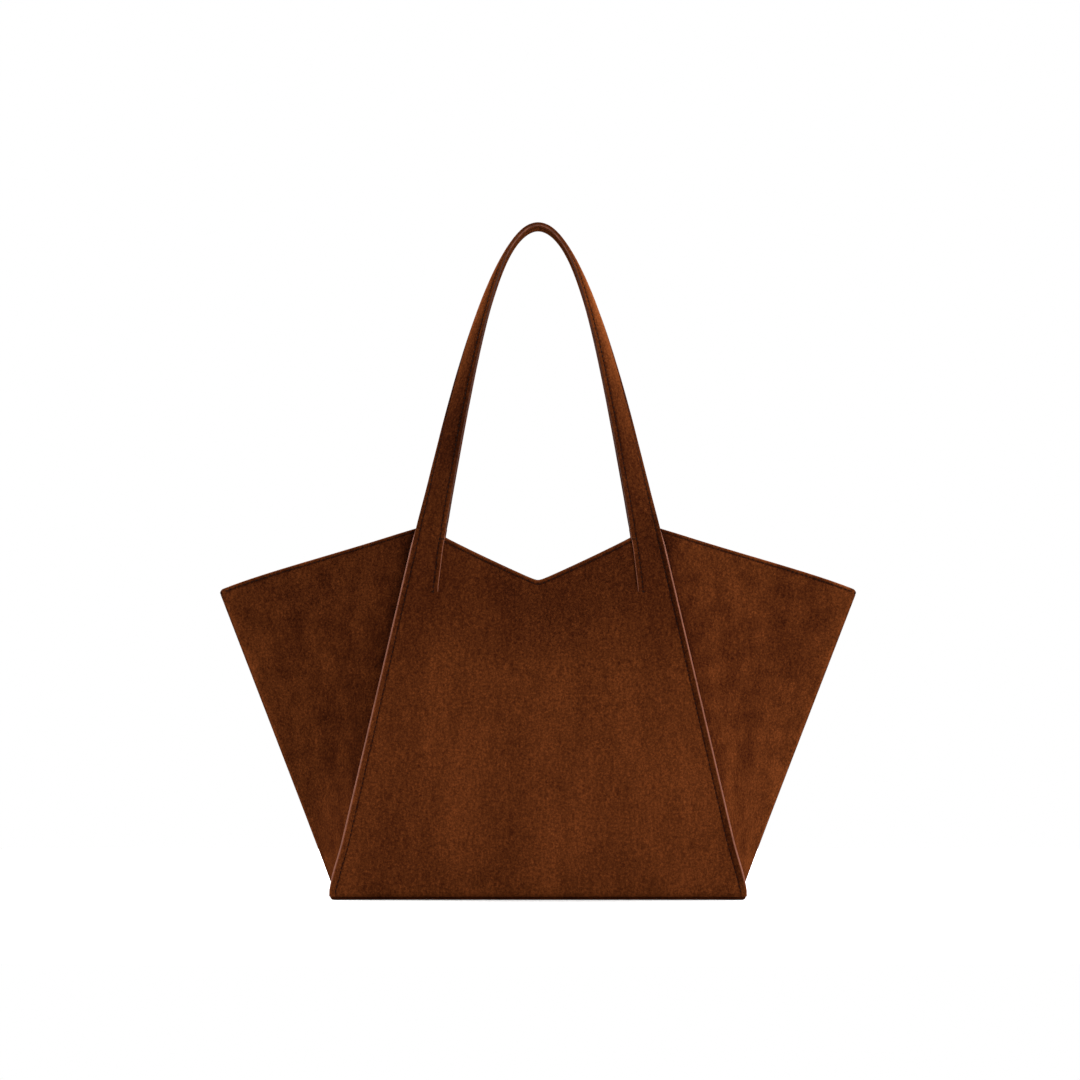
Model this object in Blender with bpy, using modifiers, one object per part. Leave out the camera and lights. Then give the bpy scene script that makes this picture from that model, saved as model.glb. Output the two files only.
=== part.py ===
"""Structured shoulder tote in suede, standing upright.

Two flat trapezium panels lean towards each other. A wing on each side joins them: it is flat at the base and
runs out to a sharp vertical fold at the mouth. Each panel's top corners carry on upwards as one padded strap
handle, which twists a quarter turn on its way to the arch. All lengths are in metres, +Z is up, and the front
of the bag faces -Y.
"""

import math

import bmesh
import bpy
from mathutils import Vector

# Driving sizes of the body
BASE_WIDTH = 0.321
BASE_DEPTH = 0.150
BASE_CORNER_RADIUS = 0.004
PANEL_HEIGHT = 0.2841
PANEL_TOP_WIDTH = 0.1886
PANEL_TOP_DEPTH = 0.120
MOUTH_CORNER_X = 0.0714
MOUTH_CORNER_Z = 0.2779
MOUTH_NOTCH_Z = 0.2451
WING_FOOT_X = 0.155
WING_TIP_X = 0.2465
WING_TIP_Z = 0.237
WING_TOP_CROWN = 0.0021

# Thickness of each layer, and the clearance left between two layers, which is wider in the twisted wings
SUEDE = 0.0013
STIFFENER = 0.0013
LINING = 0.0006
BASE_SUEDE = 0.002
BASE_BOARD = 0.003
GAP = 0.0003
WING_GAP = 0.0007

# How far each layer stops short of the layer outside it
SEAM_INSET = 0.0015
INNER_INSET = 0.009
WING_BOTTOM = 0.0028
WING_INNER_BOTTOM = 0.0045
WING_INNER_START = 0.03
FLOOR_CLEARANCE_X = 0.0108
FLOOR_CLEARANCE_Y = 0.0048

# Strap ends behind the panels, and the pocket
ANCHOR_BOTTOM = 0.238
ANCHOR_INSET = 0.0015
STIFFENER_TAB_TOP = 0.234
STIFFENER_NOTCH_X = 0.060
STIFFENER_DROP = 0.005
LINING_DROP = 0.003
LINING_TAB_TOP = 0.273
LINING_TAB_X = 0.066
POCKET_WIDTH = 0.150
POCKET_BOTTOM = 0.085
POCKET_TOP = 0.195

# Handles: a parabola in the strap's leaning plane
STRAP_WIDTH = 0.0232
STRAP_THICKNESS = 0.0064
STRAP_INNER_X = 0.0704
ARCH_TOP_Z = 0.5178
ARCH_TOP_Y = -0.0131
ARCH_HALF_SPAN = 0.0797
TWIST_END = 0.30
TWIST_POWER = 0.55
PADDING_START = 0.96
PADDING_FULL = 0.80
CORE_END = 0.90
SQUARE_END = 0.93
HINGE_AHEAD = 0.0005

# Mesh density
WING_ACROSS = 10
WING_UP = 12
STRAP_RINGS = 40
STRAP_ACROSS = 6
CORNER_STEPS = 4

# Small steps, as a share of the wing or the strap, from which their directions are found
WING_STEP = 0.01
STRAP_STEP = 0.0005

CUTTER_SIZE = 0.8

SUEDE_BROWN = (0.088, 0.022, 0.006, 1.0)
BOARD_GREY = (0.30, 0.27, 0.23, 1.0)
LINING_TAN = (0.26, 0.13, 0.06, 1.0)
FILLER_WHITE = (0.62, 0.60, 0.55, 1.0)

LEAN = math.atan2((BASE_DEPTH - PANEL_TOP_DEPTH) / 2, PANEL_HEIGHT)
HINGE_Z = PANEL_HEIGHT + GAP
BEHIND_SUEDE = SUEDE + GAP
STRAP_ROOT_X = (PANEL_TOP_WIDTH / 2 + STRAP_INNER_X) / 2


def clear_scene():
    for obj in list(bpy.data.objects):
        bpy.data.objects.remove(obj)


def new_collection(name):
    collection = bpy.data.collections.new(name)
    bpy.context.scene.collection.children.link(collection)
    return collection


def add_object(name, data, collection, parent=None):
    obj = bpy.data.objects.new(name, data)
    collection.objects.link(obj)
    obj.parent = parent
    return obj


def give_finish(obj, colour, roughness):
    finish = bpy.data.materials.new(obj.name + "_finish")
    finish.use_nodes = True
    shader = finish.node_tree.nodes["Principled BSDF"]
    shader.inputs["Base Color"].default_value = colour
    shader.inputs["Roughness"].default_value = roughness
    shader.inputs["Metallic"].default_value = 0.0
    obj.data.materials.append(finish)


def smoothstep(start, end, value):
    t = min(max((value - start) / (end - start), 0.0), 1.0)
    return t * t * (3 - 2 * t)


def panel_half_width(z):
    """Half the width of a front or back panel at a height."""
    share = z / PANEL_HEIGHT
    return BASE_WIDTH / 2 + (PANEL_TOP_WIDTH / 2 - BASE_WIDTH / 2) * share


def face_y(z):
    """Y of the front panel's outer face at a height."""
    return -BASE_DEPTH / 2 + z * math.tan(LEAN)


def mouth_z(x):
    """Height of the notched mouth line at a distance from the middle."""
    share = abs(x) / MOUTH_CORNER_X
    return MOUTH_NOTCH_Z + (MOUTH_CORNER_Z - MOUTH_NOTCH_Z) * share


def rounded_corner(centre, radius, first, last):
    """Points of an arc about a centre, between two angles in degrees."""
    points = []
    for step in range(CORNER_STEPS + 1):
        angle = math.radians(first + (last - first) * step / CORNER_STEPS)
        points.append((centre[0] + radius * math.cos(angle), centre[1] + radius * math.sin(angle)))
    return points


def add_plate(name, outline, thickness, collection, parent):
    """A flat outline in its own XY plane, with the thickness spread evenly about that plane."""
    curve = bpy.data.curves.new(name, "CURVE")
    curve.dimensions = "2D"
    curve.fill_mode = "BOTH"
    curve.extrude = thickness / 2
    spline = curve.splines.new("POLY")
    spline.points.add(len(outline) - 1)
    for point, (x, y) in zip(spline.points, outline):
        point.co = (x, y, 0.0, 1.0)
    spline.use_cyclic_u = True
    return add_object(name, curve, collection, parent)


def lean_plate(plate, depth):
    """Stands a plate up in the leaning plane, with its middle this deep behind the panel's outer face."""
    plate.rotation_euler = (math.pi / 2 - LEAN, 0.0, 0.0)
    plate.location = (0.0, -BASE_DEPTH / 2 + depth * math.cos(LEAN), -depth * math.sin(LEAN))


def mirrored(half):
    """A closed outline from its +X half, which is listed from the bottom up to the middle of the top."""
    other = [(-x, y) for x, y in reversed(half) if x > 0]
    return half + other


def panel_outline():
    bottom = BASE_SUEDE + GAP + SUEDE * math.sin(LEAN)
    radius = BASE_CORNER_RADIUS
    corner = (panel_half_width(bottom) - radius, bottom + radius)
    half = rounded_corner(corner, radius, -90, 0)
    half.append((PANEL_TOP_WIDTH / 2, PANEL_HEIGHT))
    half.append((STRAP_INNER_X, PANEL_HEIGHT))
    half.append((MOUTH_CORNER_X, MOUTH_CORNER_Z))
    half.append((0.0, MOUTH_NOTCH_Z))
    return mirrored(half)


def stiffener_outline():
    bottom = BASE_SUEDE + 2 * GAP
    top = STIFFENER_TAB_TOP
    half = [
        (panel_half_width(bottom) - INNER_INSET, bottom),
        (panel_half_width(top) - INNER_INSET, top),
        (STIFFENER_NOTCH_X, top),
        (STIFFENER_NOTCH_X, mouth_z(STIFFENER_NOTCH_X) - STIFFENER_DROP),
        (0.0, MOUTH_NOTCH_Z - STIFFENER_DROP),
    ]
    return mirrored(half)


def lining_outline():
    bottom = BASE_SUEDE + 2 * GAP
    top = LINING_TAB_TOP
    half = [
        (panel_half_width(bottom) - INNER_INSET, bottom),
        (panel_half_width(top) - INNER_INSET, top),
        (LINING_TAB_X, top),
        (0.0, MOUTH_NOTCH_Z - LINING_DROP),
    ]
    return mirrored(half)


def anchor_outline(side):
    """The strap end behind one tab of the panel, on the +X or the -X side."""
    top = PANEL_HEIGHT - GAP
    outer_bottom = panel_half_width(ANCHOR_BOTTOM) - INNER_INSET / 2
    outer_top = PANEL_TOP_WIDTH / 2 - ANCHOR_INSET - SEAM_INSET
    inner_top = STRAP_INNER_X + ANCHOR_INSET
    inner_bottom = outer_bottom - (outer_top - inner_top)
    outline = [
        (inner_bottom, ANCHOR_BOTTOM),
        (outer_bottom, ANCHOR_BOTTOM),
        (outer_top, top),
        (inner_top, top),
    ]
    return [(side * x, z) for x, z in outline]


def pocket_outline():
    half = [(POCKET_WIDTH / 2, POCKET_BOTTOM), (POCKET_WIDTH / 2, POCKET_TOP)]
    return half + [(-x, z) for x, z in reversed(half)]


def wing_lines(share):
    """The seam point behind the panel's edge and the point on the outer fold, at a share of the height."""
    seam_z = WING_BOTTOM + (PANEL_HEIGHT - 2 * GAP - WING_BOTTOM) * share
    seam_y = face_y(seam_z) + BEHIND_SUEDE / math.cos(LEAN)
    seam = Vector((panel_half_width(seam_z) - SEAM_INSET, seam_y, seam_z))
    fold_z = WING_BOTTOM + (WING_TIP_Z - WING_BOTTOM) * share
    fold = Vector((WING_FOOT_X + (WING_TIP_X - WING_FOOT_X) * fold_z / WING_TIP_Z, 0.0, fold_z))
    return seam, fold


def wing_point(across, share):
    """A point on the outer face of the front half of the +X wing."""
    seam, fold = wing_lines(share)
    crown = WING_TOP_CROWN * (1 - (2 * across - 1) ** 4) * share
    return seam.lerp(fold, across) + Vector((0.0, 0.0, crown))


def wing_normal(across, share):
    """The outward direction there, from two small steps along the face."""
    along = wing_point(across + WING_STEP, share) - wing_point(across - WING_STEP, share)
    up = wing_point(across, share + WING_STEP) - wing_point(across, share - WING_STEP)
    return along.cross(up).normalized()


def add_wing_layer(name, side, depth, thickness, start, first, last, collection, parent, cutter):
    """One layer of a wing's front half, this deep under its outer face, cut off at the bag's middle plane."""
    mesh = bpy.data.meshes.new(name)
    sheet = bmesh.new()
    bmesh.ops.create_grid(sheet, x_segments=WING_ACROSS, y_segments=WING_UP, size=1.0)
    for vertex in sheet.verts:
        across = start + (1 - start) * (vertex.co.x + 1) / 2
        share = first + (last - first) * (vertex.co.y + 1) / 2
        place = wing_point(across, share) - depth * wing_normal(across, share)
        vertex.co = (side * place.x, place.y, place.z)
    if side < 0:
        bmesh.ops.reverse_faces(sheet, faces=sheet.faces)
    sheet.to_mesh(mesh)
    sheet.free()
    layer = add_object(name, mesh, collection, parent)
    wall = layer.modifiers.new("wall", "SOLIDIFY")
    wall.thickness = thickness
    wall.offset = -1.0
    wall.use_even_offset = True
    trim = layer.modifiers.new("middle_plane", "BOOLEAN")
    trim.operation = "DIFFERENCE"
    trim.object = cutter
    return layer


def add_middle_cutter(name, collection, parent):
    """A box over everything behind the middle plane of the half that its parent turns."""
    cube = bmesh.new()
    bmesh.ops.create_cube(cube, size=CUTTER_SIZE)
    mesh = bpy.data.meshes.new(name)
    cube.to_mesh(mesh)
    cube.free()
    cutter = add_object(name, mesh, collection, parent)
    cutter.location = (0.0, CUTTER_SIZE / 2 - GAP / 2, 0.0)
    cutter.hide_render = True
    cutter.display_type = "WIRE"
    return cutter


def arch_point(q):
    """The strap's middle line: q runs from -1 at one root through 0 at the top to 1 at the other root."""
    root_y = face_y(HINGE_Z) + SUEDE + GAP / 2
    flare = STRAP_ROOT_X - ARCH_HALF_SPAN
    x = ARCH_HALF_SPAN * q + flare * q**9
    y = ARCH_TOP_Y + (root_y - ARCH_TOP_Y) * q * q
    z = ARCH_TOP_Z - (ARCH_TOP_Z - HINGE_Z) * q * q
    return Vector((x, y, z))


def strap_frame(q):
    """Middle point, tangent, direction of the inner edge and outward face direction of the twisted strap."""
    middle = arch_point(q)
    tangent = (arch_point(q + STRAP_STEP) - arch_point(q - STRAP_STEP)).normalized()
    rise = ARCH_TOP_Z - HINGE_Z
    back = ARCH_TOP_Y - face_y(HINGE_Z)
    forward = Vector((0.0, -rise, back)).normalized()
    inward = tangent.cross(forward)
    if inward.dot(Vector((0.0, middle.y, HINGE_Z)) - middle) < 0:
        inward.negate()
    along = min(max((1 - abs(q)) / (1 - TWIST_END), 0.0), 1.0)
    twist = math.pi / 2 * along**TWIST_POWER
    edge = inward * math.cos(twist) + forward * math.sin(twist)
    outward = forward * math.cos(twist) - inward * math.sin(twist)
    return middle, tangent, edge, outward


def padding(q):
    """How far the padding lifts the middle of each leather strip."""
    full = STRAP_THICKNESS / 2 - SUEDE - GAP / 2
    return full * smoothstep(1 - PADDING_START, 1 - PADDING_FULL, 1 - abs(q))


def strap_point(q, across, height):
    """A point of the strap: across is -1 at the outer edge and 1 at the inner. The roots are cut level."""
    middle, tangent, edge, outward = strap_frame(q)
    place = middle + edge * (across * STRAP_WIDTH / 2) + outward * height
    level = smoothstep(SQUARE_END, 1.0, abs(q))
    slide = (middle.z - place.z) / tangent.z if level > 0 else 0.0
    return place + tangent * slide * level


def ring_position(ring, rings, end):
    """Rings lie close together at the roots and spread out towards the arch."""
    return end * math.sin(math.pi / 2 * (2 * ring / rings - 1))


def add_strap_loft(name, heights, columns, end, collection, hinge):
    """A closed strip between two heights over the strap's middle surface, lofted because its section grows
    and turns on the way. heights(q, across) gives the two; columns are the places across the strap, and the
    strip's origin is on the line of the hinge, which is its parent."""
    loft = bmesh.new()
    rings = []
    for ring in range(STRAP_RINGS + 1):
        q = ring_position(ring, STRAP_RINGS, end)
        high = [strap_point(q, across, heights(q, across)[0]) for across in columns]
        low = [strap_point(q, across, heights(q, across)[1]) for across in reversed(columns)]
        rings.append([loft.verts.new(point - hinge.location) for point in high + low])
    for near, far in zip(rings, rings[1:]):
        for step in range(len(near)):
            after = (step + 1) % len(near)
            loft.faces.new((near[step], near[after], far[after], far[step]))
    loft.faces.new(rings[0])
    loft.faces.new(list(reversed(rings[-1])))
    bmesh.ops.recalc_face_normals(loft, faces=loft.faces)
    mesh = bpy.data.meshes.new(name)
    loft.to_mesh(mesh)
    loft.free()
    return add_object(name, mesh, collection, hinge)


def outer_leather(q, across):
    low = GAP / 2 + padding(q) * (1 - across * across)
    return low + SUEDE, low


def inner_leather(q, across):
    low = GAP / 2 + padding(q) * (1 - across * across)
    return -low, -low - SUEDE


def filler(q, across):
    half = padding(q) * (1 - across * across) - GAP / 2
    return half, -half


def base_outline(half_x, half_y, radius):
    """A rectangle with rounded corners, anticlockwise."""
    points = []
    for sign_x, sign_y, first in ((1, -1, -90), (1, 1, 0), (-1, 1, 90), (-1, -1, 180)):
        centre = (sign_x * (half_x - radius), sign_y * (half_y - radius))
        points += rounded_corner(centre, radius, first, first + 90)
    return points


def build_base(collection):
    half_x = BASE_WIDTH / 2
    half_y = BASE_DEPTH / 2
    radius = BASE_CORNER_RADIUS
    sole = add_plate("base_panel", base_outline(half_x, half_y, radius), BASE_SUEDE, collection, None)
    sole.location.z = BASE_SUEDE / 2
    give_finish(sole, SUEDE_BROWN, 0.95)
    inner = base_outline(half_x - FLOOR_CLEARANCE_X, half_y - FLOOR_CLEARANCE_Y, radius)
    board = add_plate("base_board", inner, BASE_BOARD, collection, None)
    board.location.z = BASE_SUEDE + GAP + BASE_BOARD / 2
    give_finish(board, BOARD_GREY, 0.9)
    floor = add_plate("base_lining", inner, LINING, collection, None)
    floor.location.z = BASE_SUEDE + GAP + BASE_BOARD + GAP + LINING / 2
    give_finish(floor, LINING_TAN, 0.85)


def build_panel(half, collection, parent):
    """The flat panel of the front or back half, with the stiffener and the lining behind it."""
    panel = add_plate(half + "_panel", panel_outline(), SUEDE, collection, parent)
    lean_plate(panel, SUEDE / 2)
    give_finish(panel, SUEDE_BROWN, 0.95)
    stiffener = add_plate(half + "_stiffener", stiffener_outline(), STIFFENER, collection, parent)
    lean_plate(stiffener, BEHIND_SUEDE + STIFFENER / 2)
    give_finish(stiffener, BOARD_GREY, 0.9)
    lining = add_plate(half + "_lining", lining_outline(), LINING, collection, parent)
    lean_plate(lining, BEHIND_SUEDE + STIFFENER + GAP + LINING / 2)
    give_finish(lining, LINING_TAN, 0.85)


def build_anchors(half, turned, collection, parent):
    """The two strap ends behind a panel's tabs."""
    for side in (1, -1):
        hand = "right" if side * turned > 0 else "left"
        anchor = add_plate(f"{half}_{hand}_strap_end", anchor_outline(side), SUEDE, collection, parent)
        lean_plate(anchor, BEHIND_SUEDE + SUEDE / 2)
        give_finish(anchor, SUEDE_BROWN, 0.95)


def build_wings(half, turned, collection, parent, cutter):
    """Suede, stiffener and lining of the two wing halves that meet this panel."""
    height = WING_TIP_Z - WING_BOTTOM
    inner_first = (WING_INNER_BOTTOM - WING_BOTTOM) / height
    stiffener_last = 1 - STIFFENER_DROP / height
    lining_last = 1 - LINING_DROP / height
    stiffener_depth = SUEDE + WING_GAP
    lining_depth = stiffener_depth + STIFFENER + WING_GAP
    for side in (1, -1):
        hand = "right" if side * turned > 0 else "left"
        stem = f"{half}_{hand}_wing"
        where = (collection, parent, cutter)
        suede = add_wing_layer(stem, side, 0.0, SUEDE, 0.0, 0.0, 1.0, *where)
        give_finish(suede, SUEDE_BROWN, 0.95)
        stiffener = add_wing_layer(
            stem + "_stiffener",
            side,
            stiffener_depth,
            STIFFENER,
            WING_INNER_START,
            inner_first,
            stiffener_last,
            *where,
        )
        give_finish(stiffener, BOARD_GREY, 0.9)
        lining = add_wing_layer(
            stem + "_lining",
            side,
            lining_depth,
            LINING,
            WING_INNER_START,
            inner_first,
            lining_last,
            *where,
        )
        give_finish(lining, LINING_TAN, 0.85)


def build_handle(half, collection, parent):
    """The three pieces of one handle. Their parent is an empty on the line that the roots bend about."""
    hinge = add_object(half + "_handle_hinge", None, collection, parent)
    hinge.location = (0.0, face_y(HINGE_Z) - HINGE_AHEAD, HINGE_Z)
    columns = [2 * step / STRAP_ACROSS - 1 for step in range(STRAP_ACROSS + 1)]
    stem = half + "_handle_"
    outer = add_strap_loft(stem + "outer_strap", outer_leather, columns, 1.0, collection, hinge)
    give_finish(outer, SUEDE_BROWN, 0.95)
    inner = add_strap_loft(stem + "inner_strap", inner_leather, columns, 1.0, collection, hinge)
    give_finish(inner, SUEDE_BROWN, 0.95)
    core = add_strap_loft(stem + "core", filler, columns[1:-1], CORE_END, collection, hinge)
    give_finish(core, FILLER_WHITE, 0.9)


def build_pocket(collection, parent):
    """A flat slip pocket on the back lining."""
    lining_face = BEHIND_SUEDE + STIFFENER + GAP + LINING
    pocket = add_plate("slip_pocket", pocket_outline(), LINING, collection, parent)
    lean_plate(pocket, lining_face + GAP + LINING / 2)
    give_finish(pocket, LINING_TAN, 0.85)


def build_half(half, turned, collection, cutters):
    """The front half as modelled (turned 1), or the same half turned round to make the back (turned -1)."""
    pivot = add_object(half + "_half", None, collection)
    pivot.rotation_euler.z = 0.0 if turned > 0 else math.pi
    cutter = add_middle_cutter(half + "_middle_cutter", cutters, pivot)
    build_panel(half, collection, pivot)
    build_anchors(half, turned, collection, pivot)
    build_wings(half, turned, collection, pivot, cutter)
    build_handle(half, collection, pivot)
    if turned < 0:
        build_pocket(collection, pivot)


def main():
    clear_scene()
    collection = new_collection("tote_bag")
    cutters = new_collection("cutters")
    build_base(collection)
    build_half("front", 1, collection, cutters)
    build_half("back", -1, collection, cutters)


main()
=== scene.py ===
import math

import bmesh
import bpy
from mathutils import Matrix, Vector, noise


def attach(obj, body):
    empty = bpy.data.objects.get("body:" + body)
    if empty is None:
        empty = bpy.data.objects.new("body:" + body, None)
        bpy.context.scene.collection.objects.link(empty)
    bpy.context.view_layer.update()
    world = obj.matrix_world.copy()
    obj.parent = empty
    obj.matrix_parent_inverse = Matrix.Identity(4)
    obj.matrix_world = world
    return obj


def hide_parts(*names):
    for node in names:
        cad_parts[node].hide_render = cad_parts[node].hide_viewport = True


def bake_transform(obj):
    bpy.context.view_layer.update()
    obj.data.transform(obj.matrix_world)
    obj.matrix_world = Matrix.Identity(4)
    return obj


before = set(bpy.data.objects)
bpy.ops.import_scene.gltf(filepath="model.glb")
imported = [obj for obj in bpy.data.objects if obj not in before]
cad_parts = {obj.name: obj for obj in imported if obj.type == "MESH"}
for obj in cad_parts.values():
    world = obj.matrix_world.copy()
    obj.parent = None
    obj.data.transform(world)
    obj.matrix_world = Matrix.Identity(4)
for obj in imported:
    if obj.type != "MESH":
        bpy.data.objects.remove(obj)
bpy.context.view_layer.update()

bl_info = {
    "name": "Suede tote bag",
    "version": (1, 0, 0),
    "blender": (4, 5, 0),
    "location": "3D View > Sidebar > Tote bag",
    "description": "Builds the suede, straps, seams, lining and stitches of a structured tote bag",
    "category": "Add Mesh",
}

# Sizes shared with the part's source, in metres
BASE_WIDTH = 0.321
BASE_DEPTH = 0.150
BASE_CORNER_RADIUS = 0.004
PANEL_HEIGHT = 0.2841
PANEL_TOP_WIDTH = 0.1886
PANEL_TOP_DEPTH = 0.120
PANEL_BOTTOM = 0.0024
STRAP_ROOT_Z = 0.2837
MOUTH_CORNER_X = 0.0714
MOUTH_CORNER_Z = 0.2779
MOUTH_NOTCH_Z = 0.2451
WING_BOTTOM = 0.0028
WING_FOOT_X = 0.155
WING_TIP_X = 0.2465
WING_TIP_Z = 0.237
SUEDE = 0.0013
LINING = 0.0006
GAP = 0.0003
STRAP_WIDTH = 0.0232
STRAP_THICKNESS = 0.0064
STRAP_INNER_X = 0.0704
ARCH_TOP_Z = 0.5178
ARCH_TOP_Y = -0.0131
ARCH_HALF_SPAN = 0.0797
PADDING_START = 0.96
PADDING_FULL = 0.80
SQUARE_END = 0.93
HINGE_Z = 0.2844
STRAP_END_Z = 0.238
LINING_TAB_TOP = 0.273
POCKET_WIDTH = 0.150
POCKET_BOTTOM = 0.085
POCKET_TOP = 0.195

# The suede bends from the bag to a handle between these two places
BEND_START = (0.0, -0.0605, 0.280)
BEND_END = (0.0, -0.0605, 0.300)

# The suede strap's twist in degrees, which stays within a few degrees of that of the part's solid
TWIST_AT_ROOT = 88.0
TWIST_HIGHER_UP = 37.0
TWIST_LIMIT = 83.0

# Use has flattened the padding by up to this share on both sides of the arch's top. The place and the spread
# are shares of the way from the top to a root
WORN_PADDING = 0.3
WORN_AT = 0.25
WORN_SPREAD = 0.13

# Seams and edges. The sizes above include the edge paint
PAINT = 0.0004
STRAP_PAINT_SWELL = 0.3
SLIT_END_Z = 0.2365
SLIT_STEP = 0.0008
SLIT_STEP_RUN = 0.014
SLIT_CURL = 0.0005
SLIT_STACK = 0.0009
STRAP_SEAM = 0.0034
FLANGE_WIDTH = 0.0047
FLANGE_INSET = 0.0007
FLANGE_CURL = 0.0025
FLANGE_CURL_TOP = 0.0014
FLANGE_STACK = 0.0018
FOOT_SPREAD = 0.0014
FOOT_HALF_WIDTH = 0.1604
STRAP_STACK = 0.0029
EDGE_PINCH = 0.0006
GROOVE_DEPTH = 0.0005
GROOVE_WIDTH = 0.0006
RIM_RISE = 0.00012
EDGE_ROUNDING = 0.00022
HEM_SEAM = 0.0027
STITCH_LIFT = 0.0001
LIP_DEPTH = 0.0040
RIDGE = 0.0008
RIDGE_FROM_EDGE = 0.0023
WING_HOLLOW = 0.0018
WING_TOP_CROWN = 0.0023
WING_TIP_RADIUS = 0.0034
PANEL_CORNER_RADIUS = 0.0007

# How far down the hem turned in at the mouth reaches, and how much longer its slant makes its sizes upright
HEM_REACH = 0.0075
MOUTH_SLANT = 1.1

# The rear strap starts this far in from the outer edge where the wing's seam is in its way
BACKING_INSET = 0.0052

# The lining and its pocket
LINING_FLOOR_Z = 0.0066
LINING_DEPTH = 0.0046
LINING_TOP_DROP = 0.0036
LINING_SIDE_INSET = 0.008
POCKET_SEAM = 0.002
POCKET_HEM = 0.012

# Painted shade on the nap: where no light falls on it, and how much more the front left wing gets, as it
# faces away from the key light
SHADED_NAP = -0.6
LEFT_WING_SHADE = -0.13

# The stage. The bag stands a little to the left of the picture's middle
FLOOR_RADIUS = 1.6
FLOOR_DROP = 0.0002
FLOOR_OPENING_INSET = 0.008
CAMERA_X = 0.0015
AIM_HEIGHT = 0.24
LEFT_RIM_SHARE = 1.3

# Height of the rear strap's face over the front leather's flat face, without the padding
REAR_FACE = -SUEDE - STRAP_STACK / 2 - GAP / 2

LEAN = math.atan2((BASE_DEPTH - PANEL_TOP_DEPTH) / 2, PANEL_HEIGHT)
PANEL_NORMAL = Vector((0.0, -math.cos(LEAN), math.sin(LEAN)))
HALF_TURN = Matrix.Rotation(math.pi, 4, "Z")
SIDES = (1, -1)


def linear(colour):
    """A hex sRGB colour as linear RGBA."""
    parts = [int(colour[i : i + 2], 16) / 255 for i in (0, 2, 4)]
    turned = [c / 12.92 if c <= 0.04045 else ((c + 0.055) / 1.055) ** 2.4 for c in parts]
    return (*turned, 1.0)


def colour_property(name, description, colour):
    """A colour that the user can change, from its hex value."""
    return bpy.props.FloatVectorProperty(
        name=name,
        description=description,
        subtype="COLOR",
        size=4,
        min=0.0,
        max=1.0,
        default=linear(colour),
    )


def length_property(name, description, metres):
    """A length that the user can change."""
    return bpy.props.FloatProperty(name=name, description=description, subtype="DISTANCE", default=metres)


def value_property(name, description, value):
    """A plain number that the user can change."""
    return bpy.props.FloatProperty(name=name, description=description, default=value)


class SuedeSettings(bpy.types.PropertyGroup):
    """Colours and nap of the suede."""

    # Ramp colours for the nap's tone. Besides the random patches, painted shade takes the tone down through
    # the dark colour to the first one, which is both nap crushed along the thread and painted shadow beside
    # the side seams and under the base. Painted highlights take it up through the light colour to the last
    # one, which is painted highlight.
    shade_and_crush_nap: colour_property("Crushed nap", "Colour where a seam's thread crushes the nap", "1C0A05")
    dark: colour_property("Dark nap", "Colour where the nap is brushed away from the light", "3C190A")
    middle: colour_property("Nap", "Main colour of the suede", "542911")
    light: colour_property("Light nap", "Colour where the nap is brushed towards the light", "71391A")
    # Painted highlight colour for edges, rolled hems and the straps' outer faces
    painted_highlight: colour_property("Rubbed nap", "Colour where an edge is rubbed", "96552C")
    cloud_size: length_property("Cloud size", "Width of the cloudy patches that brushing leaves", 0.026)
    grain_size: length_property(
        "Grain size", "Width of one tuft of the nap, about twice its real size so that it shows", 0.0007
    )
    slack: length_property("Slack", "How far the panels wave in and out of their flat shape", 0.0007)


class EdgePaintSettings(bpy.types.PropertyGroup):
    """The painted raw edges of the seams and straps."""

    colour: colour_property("Edge paint", "Colour of the edge paint", "844F3B")
    bulge: length_property("Bulge", "How far the paint stands out from the cut edge", PAINT)


class ThreadSettings(bpy.types.PropertyGroup):
    """The sewing thread and its stitches."""

    colour: colour_property("Thread", "Colour of the thread", "1E0C06")
    pitch: length_property("Stitch pitch", "Distance from one stitch to the next", 0.0037)
    length: length_property("Stitch length", "Length of thread that shows in one stitch", 0.0024)
    thickness: length_property("Thread thickness", "Diameter of the thread", 0.0008)


class LiningSettings(bpy.types.PropertyGroup):
    """The cloth inside the bag."""

    colour: colour_property("Lining", "Colour of the lining cloth", "6E4630")
    slack: length_property("Slack", "How far the lining hangs away from the walls", 0.0012)


class StageSettings(bpy.types.PropertyGroup):
    """Camera and lights."""

    distance: length_property("Camera distance", "Distance from the camera to the middle of the bag", 10.075)
    height: length_property("Camera height", "Height of the camera over the floor", 0.276)
    lens: value_property("Lens", "Focal length in millimetres on a sensor 36 mm wide", 434.8)
    key: value_property("Key light", "Power of the large light at the front right, in watts", 68.0)
    fill: value_property("Fill light", "Power of the soft light at the front left, in watts", 2.0)
    rim: value_property(
        "Rim lights", "Power of the right one of the lights beside and behind the bag, in watts", 54.0
    )
    sky: value_property("Surrounding light", "Strength of the even light from all round", 0.31)


def smoothstep(start, end, value):
    """0 before the start, 1 after the end and a smooth rise between them."""
    t = min(max((value - start) / (end - start), 0.0), 1.0)
    return t * t * (3 - 2 * t)


def mix(a, b, share):
    """The value at this share of the way from a to b."""
    return a + (b - a) * share


def spaced(start, end, count):
    """Values from start to end, both included, in this many equal steps."""
    return [mix(start, end, step / count) for step in range(count + 1)]


def panel_half_width(z):
    """Half the width of a front or back panel at a height."""
    return mix(BASE_WIDTH, PANEL_TOP_WIDTH, z / PANEL_HEIGHT) / 2


def face_y(z):
    """Y of the front panel's outer face at a height."""
    return -BASE_DEPTH / 2 + z * math.tan(LEAN)


def mouth_z(x):
    """Height of the mouth's edge over the panel, a wide V with a slightly rounded notch."""
    notch_radius = 0.0025
    slope = (MOUTH_CORNER_Z - MOUTH_NOTCH_Z) / (MOUTH_CORNER_X - notch_radius)
    return MOUTH_NOTCH_Z + slope * (math.hypot(x, notch_radius) - notch_radius)


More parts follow.
